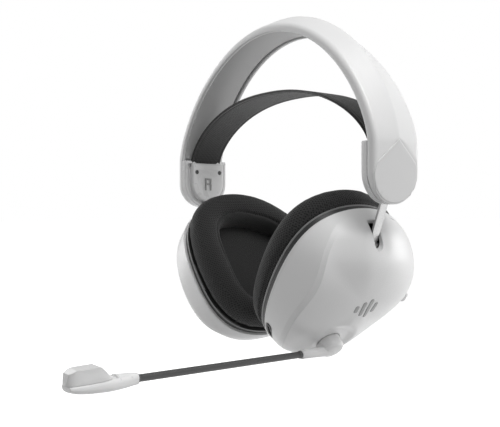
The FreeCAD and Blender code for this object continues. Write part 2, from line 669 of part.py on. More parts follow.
driver_frame = cup_frame.multiply(FreeCAD.Placement(driver_spot, FreeCAD.Rotation()))
frame_body = turned("driver_frame_body", [
    ("-3.4", "dim.frame_radius - 2.6"), ("-3.4", "dim.frame_radius"), ("0.4", "dim.frame_radius"),
    ("3.6", "dim.magnet_radius + 2"), ("dim.magnet_high", "dim.magnet_radius + 2"),
    ("dim.magnet_high", "dim.frame_bore"), ("dim.magnet_low - 1", "dim.frame_bore"),
    ("-0.8", "dim.frame_radius - 2.6")])
both_sides(sub_part(frame_body, "driver_frame_left", driver_frame), "driver_frame")
magnet_body = turned("driver_magnet_body", [
    ("dim.magnet_low", "0"), ("dim.magnet_low", "dim.magnet_radius"),
    ("dim.magnet_high", "dim.magnet_radius"), ("dim.magnet_high + 1.2", "dim.magnet_radius - 2"),
    ("dim.magnet_high + 1.2", "0")])
both_sides(sub_part(magnet_body, "driver_magnet_left", driver_frame), "driver_magnet")
membrane_body = turned("driver_membrane_body", [
    ("dim.membrane_low - 1.4", "0"), ("dim.membrane_low", "7"),
    ("dim.membrane_low", "dim.membrane_radius"), ("dim.membrane_high", "dim.membrane_radius"),
    ("dim.membrane_high", "7"), ("dim.membrane_high - 1.2", "0")])
both_sides(sub_part(membrane_body, "driver_membrane_left", driver_frame), "driver_membrane")

# tilt pin and the two ears that carry it
pin_frame = cup_frame.multiply(FreeCAD.Placement(
    pin_local - V(0, size("tilt_pin_length") / 2, 0), FreeCAD.Rotation(Z_AXIS, Y_AXIS)))
both_sides(primitive("Part::Cylinder", "tilt_pin_left", pin_frame, Radius="dim.tilt_pin_radius",
                     Height="dim.tilt_pin_length"), "tilt_pin")
gap, ear = size("ear_gap") / 2, size("ear_thick")
ears = []
for low, high in ((-gap - ear, -gap), (gap, gap + ear)):
    ears.append(block(pin_local + V(-9.6, low, -3.2), pin_local + V(1.9, high, 1.9)))
bridge = block(pin_local + V(-11, -gap - ear, -3.2), pin_local + V(-9.4, gap + ear, 3.2))
bracket = bridge.multiFuse(ears)
bracket = bracket.cut(rod(pin_local - V(0, 12, 0), pin_local + V(0, 12, 0),
                          size("tilt_pin_radius")))
both_sides(feature("tilt_bracket_left", bracket.removeSplitter(), cup_frame), "tilt_bracket")

# ---------------------------------------------------------------- left cup electronics
board = block(V(size("board_low"), -14, -13), V(size("board_low") + size("board_thick"), 24, 24))
feature("main_board", board, cup_frame)
cell_size = V(5.6, 30, 22)
cell = block(V(11.5, -12, -13), V(11.5, -12, -13) + cell_size)
battery = feature("battery_source", cell, cup_frame)
SUB_PARTS.remove(battery)
mirrored(battery, "battery")
port_half_length = size("port_length") / 2
port_shell = oblong(port_spot - port_out * port_half_length, port_out, port_side,
                    size("port_half"), size("port_radius"), port_half_length)
port_shell = port_shell.cut(oblong(port_spot, port_out, port_side, size("port_half") - 0.1,
                                   size("port_radius") - size("port_wall"), 2.8))
feature("charging_port", port_shell, cup_frame)


def button(label, proud):
    """A round push button in the rear wall; local X is its travel, out of the cup."""
    body = turned(label + "_body", [
        ("-4", "0"), ("-4", "dim.button_radius + 0.7"), ("-3.2", "dim.button_radius + 0.7"),
        ("-3.2", "dim.button_radius"), (str(proud - 0.5), "dim.button_radius"),
        (str(proud), "dim.button_radius - 0.5"), (str(proud), "0")])
    sub_part(body, label, cup_frame.multiply(button_places[label]))


for name in BUTTONS:
    button(name, size("button_proud"))
wheel_body = turned("volume_wheel_body", [
    ("-dim.wheel_thick / 2", "0.75"), ("-dim.wheel_thick / 2", "dim.wheel_radius"),
    ("dim.wheel_thick / 2", "dim.wheel_radius"), ("dim.wheel_thick / 2", "0.75")])
wheel_place = cup_frame.multiply(FreeCAD.Placement(wheel_spot, FreeCAD.Rotation(Y_AXIS, -90)))
sub_part(wheel_body, "volume_wheel", wheel_place)
axle_start = wheel_spot - V(0, 0, size("axle_length") / 2)
axle_place = cup_frame.multiply(FreeCAD.Placement(axle_start, FreeCAD.Rotation()))
axle = primitive("Part::Cylinder", "wheel_axle", axle_place, Height="dim.axle_length")
axle.Radius = 0.7

# generic level-bar mark set on each cup's face
MARK_BARS = [(-5.4, 3.4), (-1.8, 7), (1.8, 9.6), (5.4, 5.4)]
MARK_SPOT = V(0, -8, 3.5)
mark_bars = []
for across, tall in MARK_BARS:
    low = MARK_SPOT + V(0, across - 1, -tall / 2)
    mark_bars.append(block(low, low + V(60, 2, tall)))
skin = dome(size("dome_height") + 0.25, -0.2).cut(dome_outer)
mark = Part.makeCompound([bar_shape.common(skin) for bar_shape in mark_bars])
both_sides(feature("face_mark_left", mark, cup_frame), "face_mark")

# ---------------------------------------------------------------- microphone
knob = turned("mic_knob_body", [
    ("dim.knob_low - 6", "0"), ("dim.knob_low - 6", "dim.spindle_radius"),
    ("dim.knob_low", "dim.spindle_radius"), ("dim.knob_low", "dim.knob_radius"),
    ("dim.knob_high - 1.6", "dim.knob_radius"), ("dim.knob_high - 0.4", "dim.knob_radius - 1.4"),
    ("dim.knob_high", "dim.knob_radius - 3.2"), ("dim.knob_high", "0")])
sub_part(knob, "mic_knob", knob_frame)
doc.recompute()
boom_at = V(size("boom_x"), 0, size("boom_z"))
knob_centre = cup_frame.multVec(knob_spot)
stalk_root = boom_at + V(0, knob_centre.y, 0)
stalk = rod(stalk_root, boom_at + V(0, size("stalk_end"), 0), size("stalk_radius"))
feature("mic_stalk", stalk.cut(knob.Shape))


def boom_half(near, far, ball_at):
    """One half of the flexible boom, rounded where the two halves meet."""
    ball = Part.makeSphere(size("boom_radius"), boom_at + V(0, ball_at, 0))
    return rod(boom_at + V(0, near, 0), boom_at + V(0, far, 0), size("boom_radius")).fuse(ball)


reach = size("boom_radius") + size("flex_gap")
feature("boom_inner", boom_half(size("stalk_end"), size("flex_y") + reach, size("flex_y") + reach))
feature("boom_outer", boom_half(size("flex_y") - reach, size("boom_end"), size("flex_y") - reach))


def capsule_section(along, half_wide, low, high):
    """A rounded section across the capsule; low and high are heights about the boom's axis."""
    middle, half_tall = (low + high) / 2, (high - low) / 2
    points = []
    for step in range(12):
        angle = math.radians(30 * step)
        across = math.copysign(abs(math.cos(angle)) ** 0.8, math.cos(angle))
        upward = math.copysign(abs(math.sin(angle)) ** 0.8, math.sin(angle))
        points.append(boom_at + V(half_wide * across, along, middle + half_tall * upward))
    return closed_spline(points)


# (y, half width, low, high): a round neck that widens into a boat with a blunt tip
BOAT = [(-120.4, 2.6, -2.6, 2.6), (-125, 3.4, -3.1, 3), (-131.5, 5, -3.6, 3.2),
        (-140, 6, -3.5, 3.2), (-148, 5.8, -2.8, 2.6), (-152.8, 4.6, -1.4, 1.6)]
boat = Part.makeLoft([capsule_section(*row) for row in BOAT], True, False)
deck_low, deck_high = V(0, -131, 2.3), V(0, -156, 0.9)
deck_run = deck_high - deck_low
above_deck = Part.Face(Part.makePolygon([
    boom_at + V(-9, deck_low.y, deck_low.z), boom_at + V(-9, deck_high.y, deck_high.z),
    boom_at + V(-9, deck_high.y, 12), boom_at + V(-9, deck_low.y, 12),
    boom_at + V(-9, deck_low.y, deck_low.z)])).extrude(V(18, 0, 0))
base_shape = boat.cut(above_deck)
feature("mic_capsule_base", base_shape)
# raised block with a slanted back, drawn from the side
BLOCK_SIDE = [(-133.6, 2.25), (-139.2, 8), (-149.6, 7.7), (-152.9, 6.2), (-153.8, 1.1)]
side_points = [boom_at + V(-9, along, high) for along, high in BLOCK_SIDE]
block_solid = Part.Face(Part.makePolygon(side_points + side_points[:1])).extrude(V(18, 0, 0))
plan = Part.makeLoft([
    closed_spline([boom_at + V(wide * across, along, high) for across, along in (
        (0, -132.6), (0.8, -134.6), (1, -142), (0.94, -148), (0.55, -153), (0, -153.9),
        (-0.55, -153), (-0.94, -148), (-1, -142), (-0.8, -134.6))])
    for high, wide in ((0.8, 5.7), (9, 4.9))], True, True)
top_shape = block_solid.common(plan).cut(above_deck.translated(V(0, 0, -20)).common(base_shape))
mic_room = Part.makeCylinder(2.6, 3.4, boom_at + V(0, -145, 2.6), Z_AXIS)
feature("mic_capsule_top", top_shape.cut(mic_room))
feature("mic_element", Part.makeCylinder(2.5, 3, boom_at + V(0, -145, 2.8), Z_AXIS))

# ---------------------------------------------------------------- check and write
doc.recompute()
for item in doc.Objects:
    if any(flag in ("Invalid", "Error") for flag in item.State):
        raise RuntimeError("%s (%s) failed" % (item.Name, item.Label))
for item in SUB_PARTS:
    if item.Shape.isNull() or not item.Shape.isValid():
        raise RuntimeError(item.Label + " has no valid shape")
    item.Shape.exportStep("parts/%s.step" % item.Label)
print("wrote %d sub-parts" % len(SUB_PARTS))
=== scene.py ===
import math

import bmesh
import bpy
import numpy as np
from mathutils import Matrix, Vector


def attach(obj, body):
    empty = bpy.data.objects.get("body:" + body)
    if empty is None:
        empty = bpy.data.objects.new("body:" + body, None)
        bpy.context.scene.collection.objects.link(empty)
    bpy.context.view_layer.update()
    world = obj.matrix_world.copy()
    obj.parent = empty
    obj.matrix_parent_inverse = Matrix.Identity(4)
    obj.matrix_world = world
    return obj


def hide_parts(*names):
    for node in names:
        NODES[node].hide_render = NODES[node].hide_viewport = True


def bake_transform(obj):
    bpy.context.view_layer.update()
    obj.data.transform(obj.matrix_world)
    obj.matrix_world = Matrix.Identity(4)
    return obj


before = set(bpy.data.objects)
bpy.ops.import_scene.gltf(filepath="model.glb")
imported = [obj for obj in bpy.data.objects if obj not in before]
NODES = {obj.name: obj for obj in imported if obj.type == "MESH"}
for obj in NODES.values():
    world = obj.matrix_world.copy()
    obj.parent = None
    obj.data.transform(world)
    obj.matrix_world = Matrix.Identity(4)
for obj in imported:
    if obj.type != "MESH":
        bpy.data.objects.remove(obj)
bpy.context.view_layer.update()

SCENE = bpy.context.scene
MM = 0.001
SIDES = {"left": 1, "right": -1}


# -------------------- materials
def add_node(tree, kind, out=0, inputs=(), **settings):
    """Add a shader node, set it up and give back one of its outputs."""
    made = tree.nodes.new("ShaderNode" + kind)
    for key, value in settings.items():
        setattr(made, key, value)
    for key, value in dict(inputs).items():
        if isinstance(value, bpy.types.NodeSocket):
            tree.links.new(value, made.inputs[key])
        else:
            made.inputs[key].default_value = value
    return made.outputs[out]


class Look:
    """A material whose nodes are added one at a time."""

    def __init__(self, name, **shader_values):
        self.material = bpy.data.materials.new("look_" + name)
        self.material.use_nodes = True
        self.tree = self.material.node_tree
        self.shader = self.tree.nodes["Principled BSDF"]
        for socket, value in shader_values.items():
            self.shader.inputs[socket.replace("_", " ")].default_value = value
        self.place = self.tree.nodes.new("ShaderNodeTexCoord").outputs["Object"]

    def node(self, kind, out=0, inputs=(), **settings):
        return add_node(self.tree, kind, out, inputs, **settings)

    def calc(self, operation, a, b=0.0, c=0.0):
        return self.node("Math", inputs={0: a, 1: b, 2: c}, operation=operation)

    def plus(self, a, b):
        return self.calc("ADD", a, b)

    def minus(self, a, b):
        return self.calc("SUBTRACT", a, b)

    def times(self, a, b):
        return self.calc("MULTIPLY", a, b)

    def split(self, vector):
        """The three numbers of a vector."""
        return self.node("SeparateXYZ", inputs={0: vector}).node.outputs

    def noise(self, scale, detail=2.0, place=None):
        return self.node("TexNoise", inputs={"Vector": place or self.place, "Scale": scale,
                                             "Detail": detail, "Roughness": 0.5})

    def between(self, factor, low, high):
        """A number that runs from low to high as the factor runs from 0 to 1."""
        return self.node("MapRange", inputs={"Value": factor, 3: low, 4: high})

    def step(self, factor, start, end):
        """0 below the start, 1 above the end and a smooth rise between them."""
        return self.node("MapRange", inputs={"Value": factor, 1: start, 2: end},
                         interpolation_type="SMOOTHSTEP")

    def tint(self, factor, low, high):
        """A colour that runs from low to high as the factor runs from 0 to 1."""
        ends = [end if isinstance(end, bpy.types.NodeSocket) else (*end, 1) for end in (low, high)]
        return self.node("Mix", 2, {0: factor, 6: ends[0], 7: ends[1]}, data_type="RGBA")

    def into(self, socket, value):
        self.tree.links.new(value, self.shader.inputs[socket])

    def bump(self, height, depth, round_edges=0.0):
        """Relief of a depth, over edges that are rounded off in the shading only."""
        inputs = {"Height": height, "Distance": depth, "Strength": 1.0}
        if round_edges:
            inputs["Normal"] = self.node("Bevel", inputs={"Radius": round_edges}, samples=6)
        return self.node("Bump", inputs=inputs)


def grey(value):
    return (value,) * 3


def moulded(name, tone, roughness, grain=0.00006, edge=0.9, round_edges=0.0, **values):
    """Moulded plastic: fine spark-eroded grain, faint mottling and edges worn a little smoother."""
    look = Look(name, Specular_IOR_Level=0.5, **values)
    worn = look.step(look.node("NewGeometry", out="Pointiness"), 0.5, 0.56)
    base = look.tint(look.noise(22.0, 3.0), grey(tone * 0.97), grey(tone * 1.01))
    look.into("Base Color", look.tint(worn, base, grey(min(tone * edge + 0.02, 0.9))))
    scuffed = look.between(look.noise(160.0, 4.0), roughness - 0.05, roughness + 0.06)
    look.into("Roughness", look.minus(scuffed, look.times(worn, 0.06)))
    look.into("Normal", look.bump(look.noise(2600.0), grain, round_edges))
    return look.material


def brushed(name, tone, roughness, along, round_edges=0.0):
    """Metal brushed along one axis, a little duller in the scratches."""
    look = Look(name, Metallic=1.0, Anisotropic=0.5)
    scale = [60 if axis == along else 5200 for axis in "XYZ"]
    lines = look.noise(1.0, 3.0, look.node("Mapping", inputs={"Vector": look.place, "Scale": scale}))
    look.into("Base Color", look.tint(lines, grey(tone * 0.86), grey(tone)))
    look.into("Roughness", look.between(lines, roughness - 0.06, roughness + 0.1))
    look.into("Normal", look.bump(lines, 0.00003, round_edges))
    return look.material


def face_plane(look):
    """Two coordinates across whichever local plane the surface faces most, for a weave with no UVs."""
    x, y, z = look.split(look.place)
    facing = look.split(look.node("TexCoord", out="Normal"))
    size = [look.calc("ABSOLUTE", part) for part in facing]
    x_most = look.times(look.calc("GREATER_THAN", size[0], size[1]),
                        look.calc("GREATER_THAN", size[0], size[2]))
    z_most = look.times(look.calc("GREATER_THAN", size[2], size[1]), look.minus(1.0, x_most))
    return (look.node("Mix", inputs={0: x_most, 2: x, 3: y}),
            look.node("Mix", inputs={0: z_most, 2: z, 3: y}))


def knitted(name, tone, pitch, row, depth, hole=0.35):
    """Knitted mesh: staggered rows of small openings between rounded yarn bars, the openings painted dark
    as painted shade.
    """
    look = Look(name, Sheen_Weight=0.15, Sheen_Roughness=0.45, Specular_IOR_Level=0.25)
    across, along = face_plane(look)
    across = look.plus(across, look.times(look.minus(look.noise(90.0), 0.5), 0.0006))
    lines = look.calc("DIVIDE", along, row)
    odd = look.calc("MODULO", look.calc("FLOOR", look.plus(lines, 1000.0)), 2.0)
    cells = look.plus(look.calc("DIVIDE", across, pitch), look.times(odd, 0.5))
    squares = [look.calc("POWER", look.calc("ABSOLUTE", look.minus(
        look.calc("FRACT", look.plus(count, 1000.0)), 0.5)), 2.0) for count in (cells, lines)]
    reach = look.calc("SQRT", look.plus(*squares))
    yarn = look.step(reach, hole * 0.55, hole * 1.25)
    fibre = look.noise(5200.0, 3.0)
    shade = look.tint(look.noise(35.0), grey(tone * 0.85), grey(tone * 1.15))
    # painted shade: the openings are coloured far darker than the yarn around them
    look.into("Base Color", look.tint(yarn, grey(tone * 0.25), shade))
    look.into("Roughness", look.between(fibre, 0.77, 0.95))
    look.into("Normal", look.bump(look.plus(yarn, look.times(fibre, 0.3)), depth))
    return look.material


def ribbed_knit(name, tone, rib, depth):
    """Elastic webbing: fine ribs along the band, crossed by rows of stitches round a centre below it, with
    painted shade in the grooves.
    """
    look = Look(name, Sheen_Weight=0.35, Sheen_Roughness=0.4, Specular_IOR_Level=0.3)
    x, y, z = look.split(look.place)
    turns, below, reach = 2 * math.pi, 0.06, 0.075
    ribs = look.calc("SINE", look.times(y, turns / rib))
    around = look.calc("ARCTAN2", look.plus(z, below), x)
    rows = look.calc("SINE", look.plus(look.times(around, turns * reach / (rib * 1.3)),
                                       look.times(ribs, 1.2)))
    weave = look.calc("MULTIPLY_ADD", ribs, 0.3, look.calc("MULTIPLY_ADD", rows, 0.2, 0.5))
    fibre = look.noise(4800.0, 3.0)
    # painted shade: darker where the weave is low, lighter on its raised ribs and stitches
    shade = look.tint(weave, grey(tone * 0.6), grey(tone * 1.2))
    look.into("Base Color", look.tint(look.noise(30.0), shade, grey(tone * 0.9)))
    look.into("Roughness", look.between(fibre, 0.68, 0.88))
    look.into("Normal", look.bump(look.plus(weave, look.times(fibre, 0.25)), depth))
    return look.material


def circuit():
    """Solder-mask lacquer over fine tracks."""
    look = Look("circuit_board", Coat_Weight=0.4, Coat_Roughness=0.2)
    tracks = look.node("TexBrick", out="Fac", inputs={
        "Vector": look.place, "Scale": 260.0, "Mortar Size": 0.06, "Brick Width": 0.9,
        "Row Height": 0.22})
    look.into("Base Color", look.tint(tracks, (0.012, 0.06, 0.03), (0.03, 0.14, 0.07)))
    look.into("Roughness", look.between(look.noise(300.0), 0.35, 0.5))
    look.into("Normal", look.bump(tracks, 0.00004))
    return look.material


# how far, in metres, the shading rounds the edges of moulded plastic
EDGE = 0.0004
LOOKS = {
    "white_shell": moulded("white_shell", 0.80, 0.32, round_edges=EDGE),
    "pale_gloss": moulded("pale_gloss", 0.72, 0.40, round_edges=EDGE),
    "grey_liner": moulded("grey_liner", 0.58, 0.45, round_edges=EDGE),
    "mark_inlay": moulded("mark_inlay", 0.36, 0.42, round_edges=EDGE),
    "dark_plastic": moulded("dark_plastic", 0.028, 0.42, edge=1.8, round_edges=EDGE),
    "black_screw": moulded("black_screw", 0.02, 0.35, edge=3, round_edges=0.0001, Metallic=0.6),
    "steel": brushed("steel", 0.46, 0.26, "Z", round_edges=0.0002),
    "brass_bush": brushed("brass_bush", 0.55, 0.32, "Y"),
    "magnet_metal": brushed("magnet_metal", 0.48, 0.3, "X"),
    "membrane_film": moulded("membrane_film", 0.12, 0.3, grain=0.00003, Coat_Weight=0.3),
    "knit_strap": ribbed_knit("knit_strap", 0.04, 0.0011, 0.00025),
    "mesh_cushion": knitted("mesh_cushion", 0.034, 0.0014, 0.0012, 0.00022),
    "speaker_mesh": knitted("speaker_mesh", 0.034, 0.0007, 0.0006, 0.0001, hole=0.3),
    "boom_rubber": moulded("boom_rubber", 0.045, 0.5, grain=0.0001, edge=1.3),
    "mic_metal": brushed("mic_metal", 0.5, 0.35, "X"),
    "circuit_board": circuit(),
    "battery_pack": moulded("battery_pack", 0.25, 0.4, grain=0.00003),
}


def coat(obj, slot):
    """Give a CAD node its look."""
    obj.data.materials.clear()
    obj.data.materials.append(LOOKS[slot])


# -------------------- stage, light and camera
FLOOR_Z, FLOOR_REACH, FLOOR_TONE, FLOOR_GLOW = -0.30, 30.0, 0.9, 0.6
CAMERA_TURN, CAMERA_RISE, CAMERA_AWAY, CAMERA_AIM = 52.0, -0.4, 0.449, Vector((0, 0, -0.0672))
LENS, SENSOR, SHIFT = 54.63, 36, (-0.0638, -0.0062)
MIDDLE = Vector((0, 0, -0.08))
# each square light, a metre from the middle: name, turn and rise in degrees, side in metres, watts
SOFTBOXES = (("rear_softbox", 165, 2, 0.5, 2.8), ("left_softbox", 285, 12, 0.7, 3.2),
             ("top_softbox", 90, 62, 0.6, 6.0), ("right_fill", 75, 5, 0.5, 0.8))
# the studio dims towards this side, from one brightness to the other between two cosines
DIM_SIDE, DIM_COSINES, BRIGHTNESS = (0.35, -0.93, -0.1), (-0.2, 0.9), (0.56, 0.24)


def make_floor():
    """A pale floor that glows a little and throws no diffuse light back onto the object."""
    look = Look("pale_floor", Roughness=0.9, Emission_Strength=FLOOR_GLOW, Emission_Color=(1, 1, 1, 1))
    look.into("Base Color", look.tint(look.noise(3.0), grey(FLOOR_TONE), grey(FLOOR_TONE * 1.01)))
    corners = [(x * FLOOR_REACH, y * FLOOR_REACH, FLOOR_Z) for x, y in ((-1, -1), (1, -1), (1, 1), (-1, 1))]
    mesh = bpy.data.meshes.new("floor")
    mesh.from_pydata(corners, [], [(0, 1, 2, 3)])
    floor = bpy.data.objects.new("floor", mesh)
    SCENE.collection.objects.link(floor)
    mesh.materials.append(look.material)
    floor.visible_diffuse = False


def towards(turn, rise):
    """The direction at a turn from the front to the wearer's left, and at a rise, in degrees."""
    turn, rise = math.radians(turn), math.radians(rise)
    return Vector((math.sin(turn) * math.cos(rise), -math.cos(turn) * math.cos(rise), math.sin(rise)))


def placed(name, data, spot, target):
    """Add an object at a spot, facing a target."""
    back = (spot - target).normalized()
    right = Vector((0, 0, 1)).cross(back).normalized()
    up = back.cross(right)
    obj = bpy.data.objects.new(name, data)
    obj.matrix_world = Matrix(((right.x, up.x, back.x, spot.x), (right.y, up.y, back.y, spot.y),
                               (right.z, up.z, back.z, spot.z), (0, 0, 0, 1)))
    SCENE.collection.objects.link(obj)
    return obj


def make_lights():
    """Soft square lights round the object."""
    for name, turn, rise, side, power in SOFTBOXES:
        data = bpy.data.lights.new(name, "AREA")
        data.shape, data.size, data.size_y, data.energy = "RECTANGLE", side, side, power
        placed(name, data, MIDDLE + towards(turn, rise), MIDDLE)


def make_camera():
    back = towards(CAMERA_TURN, CAMERA_RISE)
    spot = back * CAMERA_AWAY + CAMERA_AIM
    data = bpy.data.cameras.new("camera")
    data.sensor_width, data.lens = SENSOR, LENS
    data.shift_x, data.shift_y = SHIFT
    data.clip_start = 0.01
    SCENE.camera = placed("camera", data, spot, spot - back)


def make_studio():
    """A world that is dimmer on the wearer's front side, and plain white where the camera sees it."""
    world = bpy.data.worlds.new("studio")
    world.use_nodes = True
    tree = world.node_tree
    backdrop = tree.nodes["Background"]
    backdrop.inputs["Color"].default_value = (1, 1, 1, 1)
    way = add_node(tree, "TexCoord", "Generated")
    facing = add_node(tree, "VectorMath", "Value", {0: way, 1: DIM_SIDE}, operation="DOT_PRODUCT")
    dimmed = add_node(tree, "MapRange", 0, dict(enumerate((facing, *DIM_COSINES, *BRIGHTNESS))))
    seen = add_node(tree, "LightPath", "Is Camera Ray")
    strength = add_node(tree, "Mix", 0, {0: seen, 2: dimmed, 3: 1.0})
    tree.links.new(strength, backdrop.inputs["Strength"])
    SCENE.world = world
    SCENE.view_settings.view_transform = "Standard"


# -------------------- shared making
# the left cup's lean in degrees and the middle of its seam, as in the CAD
CUP_LEAN, CUP_X, CUP_Y, CUP_Z = 34, 40, 12, -106.8
REARWARD, UPWARD = np.array([0, 1.0, 0]), np.array([0, 0, 1.0])


def cup_axes(side):
    """The ear cup's frame: X out of the cup, Z up its face, origin at the seam's middle."""
    lean = math.radians(CUP_LEAN)
    c, s, k = math.cos(lean), math.sin(lean), SIDES[side]
    return Matrix(((k * c, 0, k * s, k * CUP_X * MM), (0, k, 0, CUP_Y * MM),
                   (-s, 0, c, CUP_Z * MM), (0, 0, 0, 1)))


def mesh_object(name, shape, side):
    """A mesh from points in millimetres and faces, turned round for the right side."""
    points, faces = np.array(shape[0], float) * MM, shape[1]
    if side == "right":
        points = points * [1, -1, 1]
        faces = [tuple(reversed(face)) for face in faces]
    mesh = bpy.data.meshes.new(name)
    mesh.from_pydata(points.tolist(), [], [tuple(face) for face in faces])
    mesh.validate()
    obj = bpy.data.objects.new(name, mesh)
    SCENE.collection.objects.link(obj)
    weld(mesh)
    return obj


def new_piece(name, shape, slot, body=None, side=None, replaces=(), smooth=50):
    """A visible piece, in a cup's frame when it has a side."""
    obj = mesh_object(name, shape, side)
    if smooth:
        shade(obj.data, smooth)
    obj.data.materials.append(LOOKS[slot])
    if side:
        obj.matrix_world = cup_axes(side)
    if body:
        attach(obj, body)
    if replaces:
        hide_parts(*replaces)
    return obj


def weld(mesh, distance=0.00002):
    """Join points closer than a distance in metres and turn every face outwards."""
    work = bmesh.new()
    work.from_mesh(mesh)
    bmesh.ops.remove_doubles(work, verts=work.verts, dist=distance)
    bmesh.ops.recalc_face_normals(work, faces=work.faces)
    work.to_mesh(mesh)
    work.free()


def shade(mesh, angle):
    """Shade smoothly, except across edges sharper than an angle in degrees."""
    mesh.polygons.foreach_set("use_smooth", [True] * len(mesh.polygons))
    mesh.set_sharp_from_angle(angle=math.radians(angle))


def read(items, field):
    """One three-number field of every vertex or polygon."""
    values = np.zeros(len(items) * 3)
    items.foreach_get(field, values)
    return values.reshape(-1, 3)


def join_rings(rings, close_round=True, capped=False, close_long=False):
    """Points and faces of a tube through rings of equal length."""
    count = len(rings[0])
    points = np.concatenate(rings)
    faces = []
    across = count if close_round else count - 1
    along = len(rings) if close_long else len(rings) - 1
    for j in range(along):
        low, high = j * count, ((j + 1) % len(rings)) * count
        for i in range(across):
            k = (i + 1) % count
            faces.append((low + i, low + k, high + k, high + i))
    if capped:
        faces.append(tuple(range(count))[::-1])
        faces.append(tuple(range(len(points) - count, len(points))))
    return points, faces


def merged(shapes):
    """The points and faces of several shapes as one shape."""
    points, faces = [], []
    for shape_points, shape_faces in shapes:
        start = len(points)
        points.extend(shape_points.tolist())
        faces.extend(tuple(i + start for i in face) for face in shape_faces)
    return points, faces


def circle(middle, across, up, radius, count):
    """Points of a circle in the plane of two directions."""
    turns = np.linspace(0, 2 * math.pi, count, endpoint=False)[:, None]
    return np.asarray(middle) + radius * (np.cos(turns) * across + np.sin(turns) * up)


def prism(ring, way, low, high):
    """A closed prism: a ring carried along a direction from low to high."""
    return join_rings([ring + way * low, ring + way * high], capped=True)


def rounded(corners, radii, steps=4):
    """A closed outline whose corners are turned into small curves."""
    outline = []
    for index, radius in enumerate(radii):
        corner = np.array(corners[index], float)
        back = np.array(corners[index - 1], float) - corner
        ahead = np.array(corners[(index + 1) % len(corners)], float) - corner
        long_back, long_ahead = np.linalg.norm(back), np.linalg.norm(ahead)
        start = corner + back / long_back * min(radius, 0.45 * long_back)
        end = corner + ahead / long_ahead * min(radius, 0.45 * long_ahead)
        for step in range(steps + 1):
            t = step / steps
            outline.append((1 - t) ** 2 * start + 2 * t * (1 - t) * corner + t * t * end)
    return np.array(outline)


def smooth_step(value, low, high):
    """0 below low, 1 above high and a smooth rise between them."""
    t = np.clip((value - low) / (high - low), 0, 1)
    return t * t * (3 - 2 * t)


def closed_curve(points, per_span):
    """A smooth closed curve through points, with the same number of steps in each span."""
    points = np.array(points, float)
    count = len(points)
    gaps = np.linalg.norm(np.roll(points, -1, 0) - points, axis=1)
    system, right = np.zeros((count, count)), np.zeros((count, 3))
    for i in range(count):
        after = (i + 1) % count
        system[i, i - 1] += gaps[i - 1]
        system[i, i] += 2 * (gaps[i - 1] + gaps[i])
        system[i, after] += gaps[i]
        right[i] = 6 * ((points[after] - points[i]) / gaps[i] - (points[i] - points[i - 1]) / gaps[i - 1])
    bend = np.linalg.solve(system, right)
    out = []
    for i in range(count):
        after, gap = (i + 1) % count, gaps[i]
        for step in range(per_span):
            s = step / per_span
            out.append(points[i] * (1 - s) + points[after] * s
                       + ((1 - s) ** 3 - (1 - s)) * gap * gap / 6 * bend[i]
                       + (s ** 3 - s) * gap * gap / 6 * bend[after])
    return np.array(out)


# -------------------- ear cup outline
# at eight stations 45 degrees apart, starting at the rear and going over the top:
# the seam's radius, how full the dome is above it, how far the cushion bulges past it,
# and how much further in the cushion's opening lies
SEAM_RADIUS = [47, 44, 48, 55, 49, 51, 42, 40]
FULLNESS = [1.9, 2.3, 3.4, 5, 6, 5, 2.7, 1.7]
BULGE = [0, 0.8, 2.2, 1.6, 0, -1, -1.5, -1]
OPENING_STEP = [1.5, -1, 2, 0, 1, -1, -1, 0]
DOME_HEIGHT, FACE_MIDDLE = 29.0, np.array([0, -11.0, 8.0])
SPAN = 24
ROUND = 8 * SPAN
WALL_POINTS, BEVEL_POINTS, FACE_POINTS = 18, 9, 64
SHELL_WALL = 2.2
THETA = np.arange(ROUND) * 360 / ROUND


def seam_point(index, inset=0.0):
    """The seam outline's point at one of the eight stations."""
    angle = math.radians(45 * index)
    reach = SEAM_RADIUS[index] - inset
    return np.array([0, reach * math.cos(angle), reach * math.sin(angle)])


def level(depth, insets):
    """The seam outline drawn in by an inset, at one depth."""
    if np.isscalar(insets):
        insets = [insets] * 8
    return closed_curve([seam_point(i, insets[i]) + [depth, 0, 0] for i in range(8)], SPAN)


def dome_ring(share):
    """The dome's outline at a share of its height."""
    points = [FACE_MIDDLE + (seam_point(i) - FACE_MIDDLE) * (1 - share ** 2) ** (1 / FULLNESS[i])
              + [share * DOME_HEIGHT, 0, 0] for i in range(8)]
    return closed_curve(points, SPAN)


def around(values):
    """Design values at some angles in degrees, smoothly joined all the way round."""
    angles = np.array(sorted(values))
    heights = np.array([values[a] for a in angles], float)
    angles = np.concatenate([angles - 360, angles, angles + 360])
    heights = np.tile(heights, 3)
    plain = np.interp(THETA, angles, heights)
    kernel = np.hanning(13)
    kernel /= kernel.sum()
    return np.convolve(np.concatenate([plain[-6:], plain, plain[:6]]), kernel, "valid")


# height of the crease between the front wall and the face, and how strong it is
CREASE = around({0: 9, 60: 7, 80: 5, 100: 4.6, 116: 4.4, 125: 6.2, 133: 11, 141: 14.4, 148: 17.8,
                 156: 20, 164: 20.9, 174: 19.8, 188: 17, 200: 15, 212: 12.7, 226: 7.6, 240: 6,
                 270: 8, 320: 9})
CREASE_STRENGTH = around({0: 0, 70: 0, 92: 0.5, 105: 0.8, 120: 1, 225: 1, 238: 0.5, 250: 0, 300: 0})
# how far the face beside the crease is flattened
FACE_FLAT = around({0: 0, 112: 0, 122: 0.15, 133: 0.5, 146: 1, 215: 1, 230: 0.5, 246: 0, 300: 0})
# the width of the bevel between wall and face, and how far the wall below it is straightened
BEVEL, STRAIGHTENED = 3.4, 0.9
# where each push button stands in the rear wall and which way it points out, as in the CAD
BUTTONS = [((8, 41.7, -11), (0.615, 0.681, -0.398)), ((8, 34.1, -20), (0.607, 0.537, -0.586))]
BUTTON_HOLE = 3.25
# the volume wheel's middle, and the radius and half width of the room it turns in
WHEEL_SPOT, WHEEL_HOLE, WHEEL_HALF = (9.5, 37.8, -4), 6.5, 1.9


